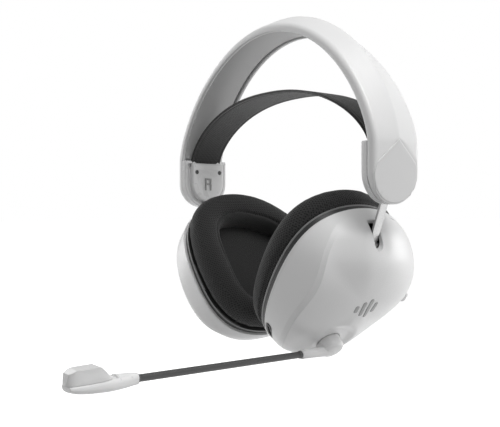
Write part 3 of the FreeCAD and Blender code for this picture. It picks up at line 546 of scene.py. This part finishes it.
def dome_profile():
    """Rings of the visible dome, from the seam to the middle of its face."""
    shares = np.concatenate([np.linspace(0, 0.9, 120)[:-1], 1 - 0.1 * (1 - np.linspace(0, 1, 120)) ** 3])
    shares[-1] = 1 - 1e-9
    table = np.array([dome_ring(s) for s in shares])
    wall_steps = 1 - (1 - np.linspace(0, 1, WALL_POINTS)) ** 1.5
    bevel_steps = np.linspace(0, 1, BEVEL_POINTS)
    face_steps = np.linspace(0, 1, FACE_POINTS) ** 1.15
    columns = []
    for i in range(ROUND):
        path = table[:, i]
        along = np.concatenate([[0], np.cumsum(np.linalg.norm(np.diff(path, axis=0), axis=1))])

        def at(distance):
            return np.array([np.interp(distance, along, path[:, k]) for k in range(3)]).T
        crease = np.interp(CREASE[i], path[:, 0], along)
        shoulder = crease + BEVEL
        strength = CREASE_STRENGTH[i]
        foot, low, high = at(0), at(crease), at(shoulder)
        wall = at(wall_steps * crease)
        flat = foot + (low - foot) * wall_steps[:, None]
        wall = wall + (flat - wall) * STRAIGHTENED * strength
        bevel = low + (high - low) * bevel_steps[:, None]
        bevel = bevel + (at(crease + BEVEL * bevel_steps) - bevel) * (1 - strength)
        reach = np.linalg.norm(path[:, 1:] - FACE_MIDDLE[1:], axis=1)
        edge_reach = np.linalg.norm(high[1:] - FACE_MIDDLE[1:])
        wanted = (1 - face_steps) * edge_reach
        spot = np.interp(-wanted, -reach, along)
        face = at(spot)
        direction = (high[1:] - FACE_MIDDLE[1:]) / edge_reach
        face[:, 1:] = FACE_MIDDLE[1:] + direction * wanted[:, None]
        gentle = DOME_HEIGHT - (DOME_HEIGHT - high[0]) * (1 - face_steps) ** 2.2
        face[:, 0] += (gentle - face[:, 0]) * FACE_FLAT[i]
        columns.append(np.concatenate([wall, bevel[1:], face[1:]]))
    return np.array(columns).transpose(1, 0, 2)


# the tilt pin at the arm's lower eye, and the arm's lean from upright
PIN_X, PIN_Z, ARM_LEAN = 74.6, -86.2, math.radians(22.2)
LEFT_AXES = np.array(cup_axes("left"))
PIN_LOCAL = (np.linalg.inv(LEFT_AXES) @ [PIN_X * MM, 0, PIN_Z * MM, 1])[:3] / MM
# the microphone's pivot, the hole for its knob and the seat pressed into the dome round it
KNOB_SPOT = np.array([26.9, -17.6, -22.2])
KNOB_LEAN = math.radians(14)
KNOB_AXIS = np.array([math.cos(KNOB_LEAN), 0, -math.sin(KNOB_LEAN)])
KNOB_UP = np.cross(KNOB_AXIS, REARWARD)
KNOB_HOLE = 6.95
SEAT_FLOOR, SEAT_INNER, SEAT_OUTER = -3.7, 11.0, 17.0
# the scoop and the slot that the arm goes through
SCOOP_DEPTH = 0.9
SLOT_LOW, SLOT_TOP, SLOT_HALF = 41.0, 50.0, 3.0
# the charging port low on the front
PORT_ANGLE, PORT_REACH, PORT_DEPTH, PORT_HALF, PORT_RADIUS = math.radians(214), 50.4, 3.4, 3, 2.6


def sculpt(rings, with_mic):
    """Press the arm's scoop, and the microphone's seat, into the dome."""
    points = rings.reshape(-1, 3).copy()
    beside = 1 - smooth_step(np.abs(points[:, 1] - PIN_LOCAL[1]), 2.5, 10)
    scoop = beside * smooth_step(points[:, 2], 34, 42) * smooth_step(points[:, 0], 6, 14)
    points[:, 0] -= SCOOP_DEPTH * scoop
    if with_mic:
        along = (points - KNOB_SPOT) @ KNOB_AXIS
        radial = np.linalg.norm(points - KNOB_SPOT - along[:, None] * KNOB_AXIS, axis=1)
        press = (1 - smooth_step(radial, SEAT_INNER, SEAT_OUTER)) * (along > -12)
        lower = np.minimum(0, SEAT_FLOOR - along) * press
        points += lower[:, None] * KNOB_AXIS
    return points.reshape(rings.shape)


def oblong(centre, way, across, half_long, radius, low, high):
    """A rounded slot-shaped prism along a direction."""
    way, across = np.array(way, float), np.array(across, float)
    turns = np.linspace(0, 2 * math.pi, 48, endpoint=False)[:, None]
    ends = np.where(np.cos(turns) > 0, half_long, -half_long)
    ring = across * (ends + radius * np.cos(turns)) + np.cross(way, across) * radius * np.sin(turns)
    return prism(ring + centre, way, low, high)


def rod(spot, way, radius, low, high):
    """A round prism along a direction."""
    way = np.array(way) / np.linalg.norm(way)
    side = np.cross(way, (1, 0.2, 0))
    side /= np.linalg.norm(side)
    return prism(circle(spot, side, np.cross(way, side), radius, 48), way, low, high)


def cut(obj, shapes, side):
    """Cut prisms given in the piece's own millimetres out of it."""
    cutter = mesh_object("cutter", merged(shapes), side)
    cutter.matrix_world = obj.matrix_world
    change = obj.modifiers.new("cut", "BOOLEAN")
    change.object, change.operation, change.solver = cutter, "DIFFERENCE", "EXACT"
    change.use_self = True
    apply_modifiers(obj)
    bpy.data.objects.remove(cutter)


def apply_modifiers(obj):
    """Make what the modifiers show the object's own mesh."""
    bpy.context.view_layer.update()
    shown = obj.evaluated_get(bpy.context.evaluated_depsgraph_get())
    mesh = bpy.data.meshes.new_from_object(shown)
    obj.modifiers.clear()
    old = obj.data
    obj.data = mesh
    bpy.data.meshes.remove(old)


DOME = dome_profile()


def make_shell(side):
    """The cup's skin with the arm's slot and, on the left, the openings for microphone and controls."""
    name = "cup_shell_" + side
    shape = join_rings(list(sculpt(DOME, side == "left")))
    shell = new_piece(name + "_skin", shape, "white_shell", side=side, smooth=0)
    wall = shell.modifiers.new("wall", "SOLIDIFY")
    wall.thickness, wall.offset, wall.use_even_offset = SHELL_WALL * MM, -1, False
    apply_modifiers(shell)
    slot = np.array([0, PIN_LOCAL[1], (SLOT_LOW + SLOT_TOP) / 2])
    shapes = [oblong(slot, (1, 0, 0), UPWARD, (SLOT_TOP - SLOT_LOW) / 2, SLOT_HALF, 9, 40)]
    if side == "left":
        shapes.append(prism(circle(KNOB_SPOT, REARWARD, KNOB_UP, KNOB_HOLE, 64), KNOB_AXIS, -4.4, 12))
        shapes += [rod(spot, way, BUTTON_HOLE, -3.5, 5) for spot, way in BUTTONS]
        shapes.append(rod(WHEEL_SPOT, UPWARD, WHEEL_HOLE, -WHEEL_HALF, WHEEL_HALF))
        out = np.array([0, math.cos(PORT_ANGLE), math.sin(PORT_ANGLE)])
        across = np.array([0, -out[2], out[1]])
        port = out * PORT_REACH + [PORT_DEPTH, 0, 0]
        shapes.append(oblong(port, out, across, PORT_HALF, PORT_RADIUS, -7, 7))
    cut(shell, shapes, side)
    shade(shell.data, 13)
    shell.data.transform(shell.matrix_world)
    shell.matrix_world = Matrix()
    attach(shell, "cup_" + side)
    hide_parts(name)


# -------------------- cushions and their rings
SEAM_REACH = np.linalg.norm(level(0, 0)[:, 1:], axis=1)
OPENING_AROUND = np.interp(THETA, np.arange(0, 361, 45), OPENING_STEP + OPENING_STEP[:1])
# a paler dark plastic for the ring's lip, a painted highlight along its edge
LIP_HIGHLIGHT = moulded("ring_lip_highlight", 0.20, 0.28, grain=0.00002)
# the cushion's section: depth, inset, and the shares of the bulge and of the opening's own outline
CUSHION_PATH = [(-5.2, 18.3, 0, 1), (-5.2, 10, 0.2, 0.5), (-5.2, 1.8, 0, 0), (-6.2, 0.5, 0.1, 0),
                (-9, -0.3, 0.4, 0), (-14, -0.2, 1, 0), (-17.4, 0.8, 1, 0), (-19.4, 3.0, 1, 0),
                (-20.4, 7.2, 1, 0), (-20.5, 11, 0.6, 0.3), (-19.6, 14.2, 0.3, 0.6),
                (-17.2, 16.6, 0, 1), (-13.5, 17.8, 0, 1), (-9, 18.2, 0, 1)]
# how far the section is drawn in before it swells, and how far a point may then move
CUSHION_SHRINK, CUSHION_CAP = 0.3, 1.5
# the cloth's grid, the depth above which it is held, its pressure and the frames it swells for
CLOTH_CELL, CLOTH_HELD, CLOTH_PRESSURE, CLOTH_FRAMES = 2.6, -6.6, 4, 20
# the sewn line round the opening, and the one round the cushion's side
SEAM_INSET, SEAM_DEPTH, SEAM_WIDTH = 14.2, 0.9, 0.8
SIDE_SEAM, SIDE_SEAM_DEPTH, SIDE_SEAM_WIDTH = -7.6, 0.5, 0.7


def at_angle(angle, values):
    """A value known all the way round the cup, at some angles."""
    return np.interp(angle, np.append(THETA, 360), np.append(values, values[0]))


def polar(side, points):
    """How far each point lies inside the seam outline, and its angle round the cup."""
    rear = points[:, 1] if side == "left" else -points[:, 1]
    angle = np.degrees(np.arctan2(points[:, 2], rear)) % 360
    return at_angle(angle, SEAM_REACH) - np.hypot(points[:, 1], points[:, 2]), angle


def seam_inset(angle):
    """Where the sewn line runs, inside the seam outline."""
    return SEAM_INSET + 0.6 * at_angle(angle, OPENING_AROUND)


def make_ring(side):
    """Dark carrier ring between shell and cushion, with a fine lip at its lower edge painted paler as a
    painted highlight.
    """
    profile = rounded([(-0.35, 1.3), (-3.3, 1.0), (-3.5, 0.45), (-4.35, 0.45), (-4.45, 1.6),
                       (-4.45, 14.2), (-0.35, 14.2)], [0.3, 0.1, 0.25, 0.3, 0.2, 0.4, 0.4], 3)
    shape = join_rings([level(depth, inset) for depth, inset in profile], close_long=True)
    ring = new_piece("cushion_ring_" + side + "_moulded", shape, "dark_plastic",
                     "cup_" + side, side, ["cushion_ring_" + side])
    ring.data.materials.append(LIP_HIGHLIGHT)
    # faces of the lip at the ring's lower edge, painted paler as a painted highlight
    centres = read(ring.data.polygons, "center") / MM
    lip_highlight_faces = (centres[:, 0] > -4.5) & (centres[:, 0] < -3.35) & (polar(side, centres)[0] < 1.2)
    ring.data.polygons.foreach_set("material_index", lip_highlight_faces.astype(int))


def cushion_rings():
    """The cushion's section carried round the seam outline, drawn in by a little."""
    rings = []
    for depth, inset, bulged, opened in CUSHION_PATH:
        drawn = CUSHION_SHRINK * (1 if inset < 11 else -1)
        insets = [inset - bulged * BULGE[i] + opened * (OPENING_STEP[i] * 0.9) + drawn for i in range(8)]
        rings.append(level(depth + (CUSHION_SHRINK if depth < -12 else 0), insets))
    return rings


def inflate(obj):
    """Swell a closed padded piece with cloth pressure, its base held still."""
    remesh = obj.modifiers.new("remesh", "REMESH")
    remesh.mode, remesh.voxel_size = "VOXEL", CLOTH_CELL * MM
    apply_modifiers(obj)
    rest = read(obj.data.vertices, "co")
    held = obj.vertex_groups.new(name="held")
    for index in np.nonzero(rest[:, 0] > CLOTH_HELD * MM)[0]:
        held.add([int(index)], 1.0, "ADD")
    cloth = obj.modifiers.new("cloth", "CLOTH")
    cloth.settings.vertex_group_mass = "held"
    cloth.settings.use_pressure = True
    cloth.settings.uniform_pressure_force = CLOTH_PRESSURE
    cloth.settings.effector_weights.gravity = 0
    cloth.settings.quality = 5
    for number in range(1, CLOTH_FRAMES + 1):
        SCENE.frame_set(number)
    shown = obj.evaluated_get(bpy.context.evaluated_depsgraph_get())
    move = read(shown.data.vertices, "co") - rest
    obj.modifiers.clear()
    SCENE.frame_set(1)
    size = np.linalg.norm(move, axis=1, keepdims=True)
    cap = CUSHION_CAP * MM
    move *= cap * np.tanh(size / cap) / np.maximum(size, 1e-9)
    obj.data.vertices.foreach_set("co", (rest + move).ravel())
    obj.vertex_groups.clear()


def make_cushion(side):
    """The padded ear cushion: mesh cloth outside the sewn line, smoother cloth inside it."""
    name = "ear_cushion_" + side
    shape = join_rings(cushion_rings(), close_long=True)
    cushion = new_piece(name + "_padded", shape, "mesh_cushion", side=side, smooth=0)
    inflate(cushion)
    finer = cushion.modifiers.new("finer", "SUBSURF")
    finer.levels = finer.render_levels = 2
    apply_modifiers(cushion)
    press_seams(cushion.data, side)
    shade(cushion.data, 180)
    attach(cushion, "cup_" + side)
    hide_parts(name)
    cushion.data.materials.append(LOOKS["speaker_mesh"])
    inset, angle = polar(side, read(cushion.data.polygons, "center") / MM)
    inner = inset > seam_inset(angle)
    cushion.data.polygons.foreach_set("material_index", inner.astype(int))


def press_seams(mesh, side):
    """Draw the sewn line round the opening, and the one round the side, into the padding."""
    points = read(mesh.vertices, "co") / MM
    normals = read(mesh.vertices, "normal")
    inset, angle = polar(side, points)
    inner = SEAM_DEPTH * np.exp(-((inset - seam_inset(angle)) / SEAM_WIDTH) ** 2) * (points[:, 0] < -12)
    outer = SIDE_SEAM_DEPTH * np.exp(-((points[:, 0] - SIDE_SEAM) / SIDE_SEAM_WIDTH) ** 2) * (inset < 6)
    points -= normals * (inner + outer)[:, None]
    mesh.vertices.foreach_set("co", (points * MM).ravel())
    mesh.update()


# inset and rise, from the speaker cloth's edge to its middle
PAD_PROFILE = ((9.0, 0.0), (9.4, 0.25), (12, 0.4), (18, 0.7), (24, 1.2), (30, 1.7), (36, 2.0), (40.5, 2.1))


def make_cloth_pad(side):
    """The thin foam-backed cloth over the speaker, crowned and drawn in at its edge."""
    rings = []
    for inset, rise in PAD_PROFILE:
        ring = level(-4.75 - rise, min(inset, 39))
        ring[:, 1:] *= 1 if inset <= 39 else 0.05
        rings.append(ring)
    back = level(-4.55, 9.0)
    shape = join_rings([back * [1, 0.05, 0.05], back] + rings, capped=True)
    pad = new_piece("speaker_cloth_" + side + "_pad", shape, "speaker_mesh", "cup_" + side,
                    side, ["speaker_cloth_" + side], 60)


# where each bar of the face mark stands across the face and how tall it is
MARK_BARS = ((-6.6, 4.6), (-2.2, 9.2), (2.2, 12.4), (6.6, 7.0))
MARK_HALF, MARK_REAR, MARK_UP = 1.3, -8.0, 4.5


def make_mark(side):
    """A generic level-bar mark, each bar a thin rounded inlay that follows the face."""
    flat = sculpt(DOME, side == "left").reshape(-1, 3)
    face = flat[flat[:, 0] > 20]
    bars = []
    for across, tall in MARK_BARS:
        half, high = MARK_HALF, tall / 2
        outline = rounded([(-half, -high), (half, -high), (half, high), (-half, high)], [1.2] * 4, 5)
        rings = []
        for inset, rise in ((0, -0.5), (0, 0.12), (0.12, 0.22), (0.5, 0.24)):
            shrink = np.array([1 - inset / half, 1 - inset / high])
            ring = []
            for u, v in outline * shrink + [across + MARK_REAR, MARK_UP]:
                gap = (face[:, 1] - u) ** 2 + (face[:, 2] - v) ** 2
                near = np.argpartition(gap, 6)[:6]
                weight = 1 / (gap[near] + 0.05)
                ring.append([(face[near, 0] * weight).sum() / weight.sum() + rise, u, v])
            rings.append(np.array(ring))
        bars.append(join_rings(rings, capped=True))
    mark = new_piece("face_mark_" + side + "_bars", merged(bars), "grey_liner", "cup_" + side, side,
                     ["face_mark_" + side])
    mark.data.materials[0] = LOOKS["mark_inlay"]


# -------------------- microphone
BOOM_X, BOOM_Z, BOOM_RADIUS = 50.0, -142.2, 1.7
# distance along the boom and radius
STALK_PROFILE = ((-26.6, 1.75), (-26.6, 2.2), (-26.2, 2.42), (-22, 2.5), (-16, 2.65), (-11, 2.85),
                 (-6.5, 2.95), (-5.6, 2.6))


def make_knob():
    """The turned pivot knob, its shaft in the seat's hole."""
    corner = [(6.6 - 2.6 * (1 - math.cos(a)), 1.0 + 2.4 * math.sin(a))
              for a in np.linspace(0, math.pi / 2, 9)]
    profile = [(2.2, -10.2), (2.25, -4.2), (6.1, -4.2), (6.5, -3.8), (6.6, -3.2)] + corner
    profile += [(3.2, 3.5), (2.2, 3.55), (1.2, 3.58), (0.3, 3.6)]
    rings = [circle(KNOB_SPOT + KNOB_AXIS * along, REARWARD, KNOB_UP, radius, 72)
             for radius, along in profile]
    new_piece("mic_knob_turned", join_rings(rings, capped=True), "white_shell", "mic_arm", "left",
              ["mic_knob"])


def boom_rings(profile, count):
    """Circles round the boom's line, from pairs of distance and radius."""
    return [circle((BOOM_X, y, BOOM_Z), (1, 0, 0), UPWARD, radius, count) for y, radius in profile]


def make_stalk():
    """The tapered stalk between the knob and the boom."""
    shape = join_rings(boom_rings(STALK_PROFILE, 32), capped=True)
    new_piece("mic_stalk_tapered", shape, "white_shell", "mic_arm", None, ["mic_stalk"])


def make_boom():
    """The flexible tube in one run, with a collar at each end."""
    profile = [(-26.0, BOOM_RADIUS)]
    profile += [(-26.9, BOOM_RADIUS + 0.28), (-27.8, BOOM_RADIUS + 0.28), (-28.3, BOOM_RADIUS)]
    profile += [(y, BOOM_RADIUS) for y in np.linspace(-29, -119, 91)]
    profile += [(-119.4, BOOM_RADIUS + 0.2), (-120.6, BOOM_RADIUS + 0.2)]
    shape = join_rings(boom_rings(profile, 24), capped=True)
    boom = new_piece("boom_tube", shape, "boom_rubber", None, None, ["boom_inner", "boom_outer"], 60)
    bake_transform(boom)


# -------------------- arches and the suspension strap
BAND_X, SPRING_Z = 88, -34.4
# each arch: half span, rise, height of its ends, and the powers that fill out its shoulders
BAND_ARCH = (BAND_X, 70, SPRING_Z, 1.01, 1.33)
STRAP_ARCH = (83.6, 35.2, -35.2, 0.885, 1.316)
# widths at the crown and at the ends
BAND_WIDTHS, STRAP_WIDTHS = (27, 32.2), (26.5, 23.4)


def arch(degrees, half_span, rise, base, span_power, rise_power):
    """A point of an arch and its outward normal, in X and Z."""
    def spot(angle):
        across = math.copysign(abs(math.cos(angle)) ** span_power, math.cos(angle))
        return np.array([half_span * across, 0, base + rise * max(math.sin(angle), 0) ** rise_power])
    angle = math.radians(degrees)
    if degrees <= 0 or degrees >= 180:
        return spot(angle), np.array([math.cos(angle), 0, 0])
    run = spot(angle + 0.002) - spot(angle - 0.002)
    normal = np.array([run[2], 0, -run[0]])
    return spot(angle), normal / np.linalg.norm(normal)


def half_width(degrees, crown, end):
    """Half the width of a band at an angle of its arch."""
    return (crown + (end - crown) * math.cos(math.radians(degrees)) ** 2) / 2


def strap_outline(half):
    """The strap's section: rounded edges, shallow sewn grooves, slightly crowned top."""
    top = []
    for share in np.linspace(-1, 1, 33):
        edge = half - abs(share) * half
        rise = 1.42 + 0.08 * (1 - share ** 2)
        rise -= 0.28 * math.exp(-((edge - 2.4) / 0.45) ** 2)
        rise -= 0.7 * (1 - smooth_step(edge, 0, 0.7))
        top.append((share * half, rise))
    bottom = [(across, 1.5 - rise) for across, rise in reversed(top)]
    return [(a, max(0.0, o)) for a, o in top + bottom]


def make_strap():
    """Elastic strap with rounded edges and a sewn line inside each edge."""
    rings = []
    path = [(0, -2.2), (0, -1)] + [(d, 0) for d in np.linspace(0, 180, 121)] + [(180, -1), (180, -2.2)]
    for degrees, drop in path:
        spot, normal = arch(degrees, *STRAP_ARCH)
        section = strap_outline(half_width(degrees, *STRAP_WIDTHS))
        rings.append(np.array([spot + [0, across, drop] + normal * out for across, out in section]))
    new_piece("suspension_strap_knit", join_rings(rings, capped=True), "knit_strap", "headband", None,
              ["suspension_strap"], 60)


# -------------------- headband
FOOT_Z, FOOT_RADIUS = -48.6, 16.1
# the band's section: thickness at its edges, lip width, channel depth and the round of its edges
EDGE_THICK, LIP, CHANNEL, EDGE_ROUND = 5.1, 2.2, 3.2, 2.3
RIDGE_CROWN, RIDGE_END = 5.2, 1.4
# the sloping end facet, how far the skin lies below it, and the height it ends at
FACET_X, FACET_Z, FACET_SLOPE = 94.5, -32.2, math.tan(math.radians(6.65))
FACET_SUNK, FACET_TOP = 0.5, -28
# how far in from the edge each point of the roof lies at the foot
INSETS = [0, 0.12, 0.35, 0.7, 1.1, 1.6, 2.2, 3.0, 4.2, 5.8, 7.6, 9.6, 11.4, 12.8, 14.0, 14.9, 15.5,
          15.9, 16.1]
# points of each lip before the channel's edge
LIP_POINTS = 5


def roof(across, half, ridge):
    """Height of the band's outside over its inner face: two slopes, a soft ridge, rounded edges."""
    off = np.sqrt(np.square(across) + 0.35) - 0.59 * (1 - np.abs(across) / half)
    height = EDGE_THICK + ridge * (1 - off / (half - 2))
    edge = np.clip(half - np.abs(across), 0, EDGE_ROUND)
    return height - EDGE_ROUND + np.sqrt(EDGE_ROUND ** 2 - (EDGE_ROUND - edge) ** 2)


def band_section(degrees):
    """Closed outline (across, out) of the shell: roof, side walls, lips and the liner's channel."""
    half = half_width(degrees, *BAND_WIDTHS)
    ridge = RIDGE_CROWN + (RIDGE_END - RIDGE_CROWN) * math.cos(math.radians(degrees)) ** 4
    scale = half / FOOT_RADIUS
    left = [-(half - inset * scale) for inset in INSETS]
    across = np.array(left + [-value for value in reversed(left[:-1])])
    top = list(zip(across, roof(across, half, ridge)))
    inner = half - LIP
    right_lip = [(half, 1.2), (half, 0.5), (half - 0.15, 0.15), (half - 0.5, 0.0), (inner + 0.5, 0.0),
                 (inner + 0.15, 0.12), (inner, 0.4), (inner, 2.4), (inner, CHANNEL)]
    left_lip = [(-a, o) for a, o in reversed(right_lip)]
    return top + right_lip + left_lip


def make_headband():
    """The band's arch and its two feet, one skin."""
    rings = []
    stops = np.concatenate([np.linspace(0, 6, 7), np.linspace(8, 172, 165), np.linspace(174, 180, 7)])
    for degrees in stops:
        spot, normal = arch(degrees, *BAND_ARCH)
        section = band_section(degrees)
        rings.append(np.array([under_facet(spot + [0, a, 0] + normal * o) for a, o in section]))
    points, faces = join_rings(rings)
    count = len(rings[0])
    lip_start = 2 * len(INSETS) - 1 + LIP_POINTS
    for start in (0, len(points) - count):
        faces.append(tuple(range(start + lip_start, start + count - LIP_POINTS)))
    skin = merged([(points, faces), make_foot(1), make_foot(-1)])
    new_piece("headband_shell_skin", skin, "white_shell", "headband", None, ["headband_shell"], 40)


def half_round(radius, angles):
    """The round end of the foot, or an outline inside it, in Y and Z."""
    return [(radius * math.cos(a), FOOT_Z - radius * math.sin(a)) for a in angles]


def foot_line(inset):
    """The foot's outline in Y and Z, drawn in by an inset, from the front round the end to the rear."""
    radius = FOOT_RADIUS - inset
    down = [(-radius, z) for z in np.linspace(SPRING_Z, FOOT_Z, 10)]
    end = [(-y, z) for y, z in half_round(radius, np.linspace(0, math.pi, 25)[1:-1])]
    return down + end + [(-y, z) for y, z in reversed(down)]


def facet(z):
    """How far past the arch's own line the sloping end facet stands out at a height."""
    return FACET_X - FACET_SLOPE * (FACET_Z - z) - BAND_X


def under_facet(point):
    """Keep a point of the shell just below the sloping end facet that the cap covers."""
    if point[2] >= FACET_TOP:
        return np.array(point)
    out = abs(point[0]) - BAND_X
    sunk = FACET_SUNK * smooth_step(out - facet(point[2]), -0.12, 0.12)
    reach = BAND_X + min(out, facet(point[2]) - sunk)
    return np.array([math.copysign(reach, point[0]), point[1], point[2]])


def make_foot(sign):
    """The straight foot, its outside cut by the sloping end facet."""
    rows = []
    for inset in INSETS:
        row = []
        for y, z in foot_line(inset):
            out = roof(np.array(y), FOOT_RADIUS, RIDGE_END)
            edge = EDGE_ROUND - np.sqrt(EDGE_ROUND ** 2 - (EDGE_ROUND - min(inset, EDGE_ROUND)) ** 2)
            flat = EDGE_THICK + RIDGE_END * (1 - min(abs(y), FOOT_RADIUS - 2) / (FOOT_RADIUS - 2))
            row.append(under_facet((BAND_X + (flat - edge if z < FOOT_Z else out), y, z)))
        rows.append(row)
    for inset, out in ((0, 1.2), (0, 0.5), (0.15, 0.15), (0.5, 0.0), (8, 0.0), (15.9, 0.0)):
        rows.insert(0, [(BAND_X + out, y, z) for y, z in foot_line(inset)])
    return join_rings([np.array(row) * [sign, 1, 1] for row in rows], close_round=False)


def make_cap(side):
    """The flat end facet, a thin plate with a softened rim."""
    shoulder = [(13.6, -43.9), (14.8, -46.3), (15.4, -49.4)]
    outline = [(0, -32.4)] + shoulder + half_round(15.5, np.linspace(0.14, math.pi - 0.14, 24))
    outline += [(-y, z) for y, z in reversed(shoulder)]
    soft = rounded(outline, [0.6, 1.5, 1.5, 1.0] + [0.1] * 24 + [1.0, 1.5, 1.5], 5)
    middle = np.array([0, -48.0])
    reach = np.linalg.norm(soft - middle, axis=1, keepdims=True)
    rings = []
    for inset, rise in ((0.0, -1.2), (0.0, -0.45), (0.08, -0.18), (0.3, -0.02), (0.7, 0.0),
                        (3, 0.0), (8, 0.0), (14, 0.0)):
        drawn = middle + (soft - middle) * np.maximum(0.02, 1 - inset / reach)
        rings.append(np.array([(SIDES[side] * (BAND_X + facet(z) + rise), y, z) for y, z in drawn]))
    new_piece("end_cap_" + side + "_plate", join_rings(rings, capped=True), "pale_gloss", "headband",
              None, ["end_cap_" + side])


def make_liner():
    """The padded liner strip in the band's channel, with a gap along its rear edge."""
    rings = []
    for degrees in np.linspace(4.5, 175.5, 130):
        spot, normal = arch(degrees, *BAND_ARCH)
        inner = half_width(degrees, *BAND_WIDTHS) - LIP
        front, rear = -inner + 0.3, inner - 1.3
        section = rounded([(front, 1.9), (front, 0.55), (rear, 0.55), (rear, 1.9)], [0.2, 0.5, 0.5, 0.2], 3)
        rings.append(np.array([spot + [0, a, 0] + normal * o for a, o in section]))
    new_piece("headband_liner_strip", join_rings(rings, capped=True), "grey_liner", "headband", None,
              ["headband_liner"])


def tongue(half, top, corner):
    """A U-shaped outline in Y and Z with rounded upper corners."""
    line = [(half, top)] + half_round(half, np.linspace(0, math.pi, 33)) + [(-half, top)]
    return rounded(line, [corner] + [0.05] * 33 + [corner], 4)


def drawn_in(outline, inset):
    """An outline moved towards its inside by an inset."""
    run = np.roll(outline, -1, 0) - np.roll(outline, 1, 0)
    run /= np.maximum(np.linalg.norm(run, axis=1, keepdims=True), 1e-9)
    normal = np.column_stack([run[:, 1], -run[:, 0]])
    first = outline[0] - outline.mean(0)
    if ((first + normal[0]) ** 2).sum() > (first ** 2).sum():
        normal = -normal
    return outline + normal * inset


def end_piece(name, outline, steps, side, holes=()):
    """A plate at the band's end: an outline stepped in and out, with the swivel's bore cut through."""
    sign = SIDES[side]
    rings = [np.array([(sign * x, y, z) for y, z in drawn_in(outline, inset)]) for inset, x in steps]
    piece = new_piece(name, join_rings(rings, capped=True), "white_shell")
    run = np.array([sign * math.sin(ARM_LEAN), 0, math.cos(ARM_LEAN)])
    pin = np.array([sign * PIN_X, 0, PIN_Z])
    bore = circle(pin, REARWARD, np.cross(run, REARWARD), BORE_RADIUS, 48)
    cut(piece, [prism(bore, run, BORE_LOW, BORE_TOP)] + list(holes), None)
    shade(piece.data, 40)
    return piece


# the swivel's bore, measured up the arm from the tilt pin
BORE_RADIUS, BORE_LOW, BORE_TOP = 2.65, 21.8, 36.2
# inset and distance from the middle plane, from each plate's outer side to the side facing the head
TRAY_STEPS = ((0, 87.7), (0, 84.5), (0.12, 84.0), (0.45, 83.65), (0.9, 83.6), (1.5, 83.6), (1.85, 83.72),
              (2.0, 84.0), (2.1, 84.3), (2.5, 84.6), (4.6, 85.0), (5.4, 85.0))
ANCHOR_STEPS = ((0, 85.4), (0, 81.3), (0.1, 80.95), (0.35, 80.68), (0.75, 80.6), (3, 80.6))
# the anchor's screw holes, and the pocket for the strap's tail
SCREW_Y, SCREW_Z, SCREW_HOLE = 8.9, -41.2, 1.45
POCKET_HALF, POCKET_LOW, POCKET_TOP = 13, -38.2, -34


def make_housing(side):
    """The tray that holds the strap's anchor: a rounded rim round a sunk floor."""
    outline = tongue(FOOT_RADIUS, SPRING_Z + 1, 1.0)
    piece = end_piece("end_housing_" + side + "_tray", outline, TRAY_STEPS, side)
    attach(piece, "headband")
    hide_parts("end_housing_" + side)


def make_anchor(side):
    """The D-shaped plate that clamps the strap's tail."""
    way = np.array([SIDES[side], 0, 0])
    holes = [prism(circle((0, y, SCREW_Z), REARWARD, UPWARD, SCREW_HOLE, 32), way, 79, 88)
             for y in (-SCREW_Y, SCREW_Y)]
    corners = ((-1, POCKET_LOW), (1, POCKET_LOW), (1, POCKET_TOP), (-1, POCKET_TOP))
    holes.append(prism(np.array([(0, turn * POCKET_HALF, z) for turn, z in corners]), way, 83.4, 86))
    piece = end_piece("strap_anchor_" + side + "_plate", tongue(12, -35.2, 1.2), ANCHOR_STEPS, side, holes)
    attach(piece, "headband")
    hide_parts("strap_anchor_" + side)


# -------------------- the scene
make_floor()
make_camera()
make_lights()
make_studio()
for name, obj in NODES.items():
    coat(obj, "mark_inlay" if name.startswith("side_mark") else obj.data.materials[0].name)
for side in SIDES:
    make_shell(side)
    make_ring(side)
    make_cushion(side)
    make_cloth_pad(side)
    make_mark(side)
make_knob()
make_stalk()
make_boom()
make_strap()
make_headband()
make_liner()
for side in SIDES:
    make_cap(side)
    make_housing(side)
    make_anchor(side)
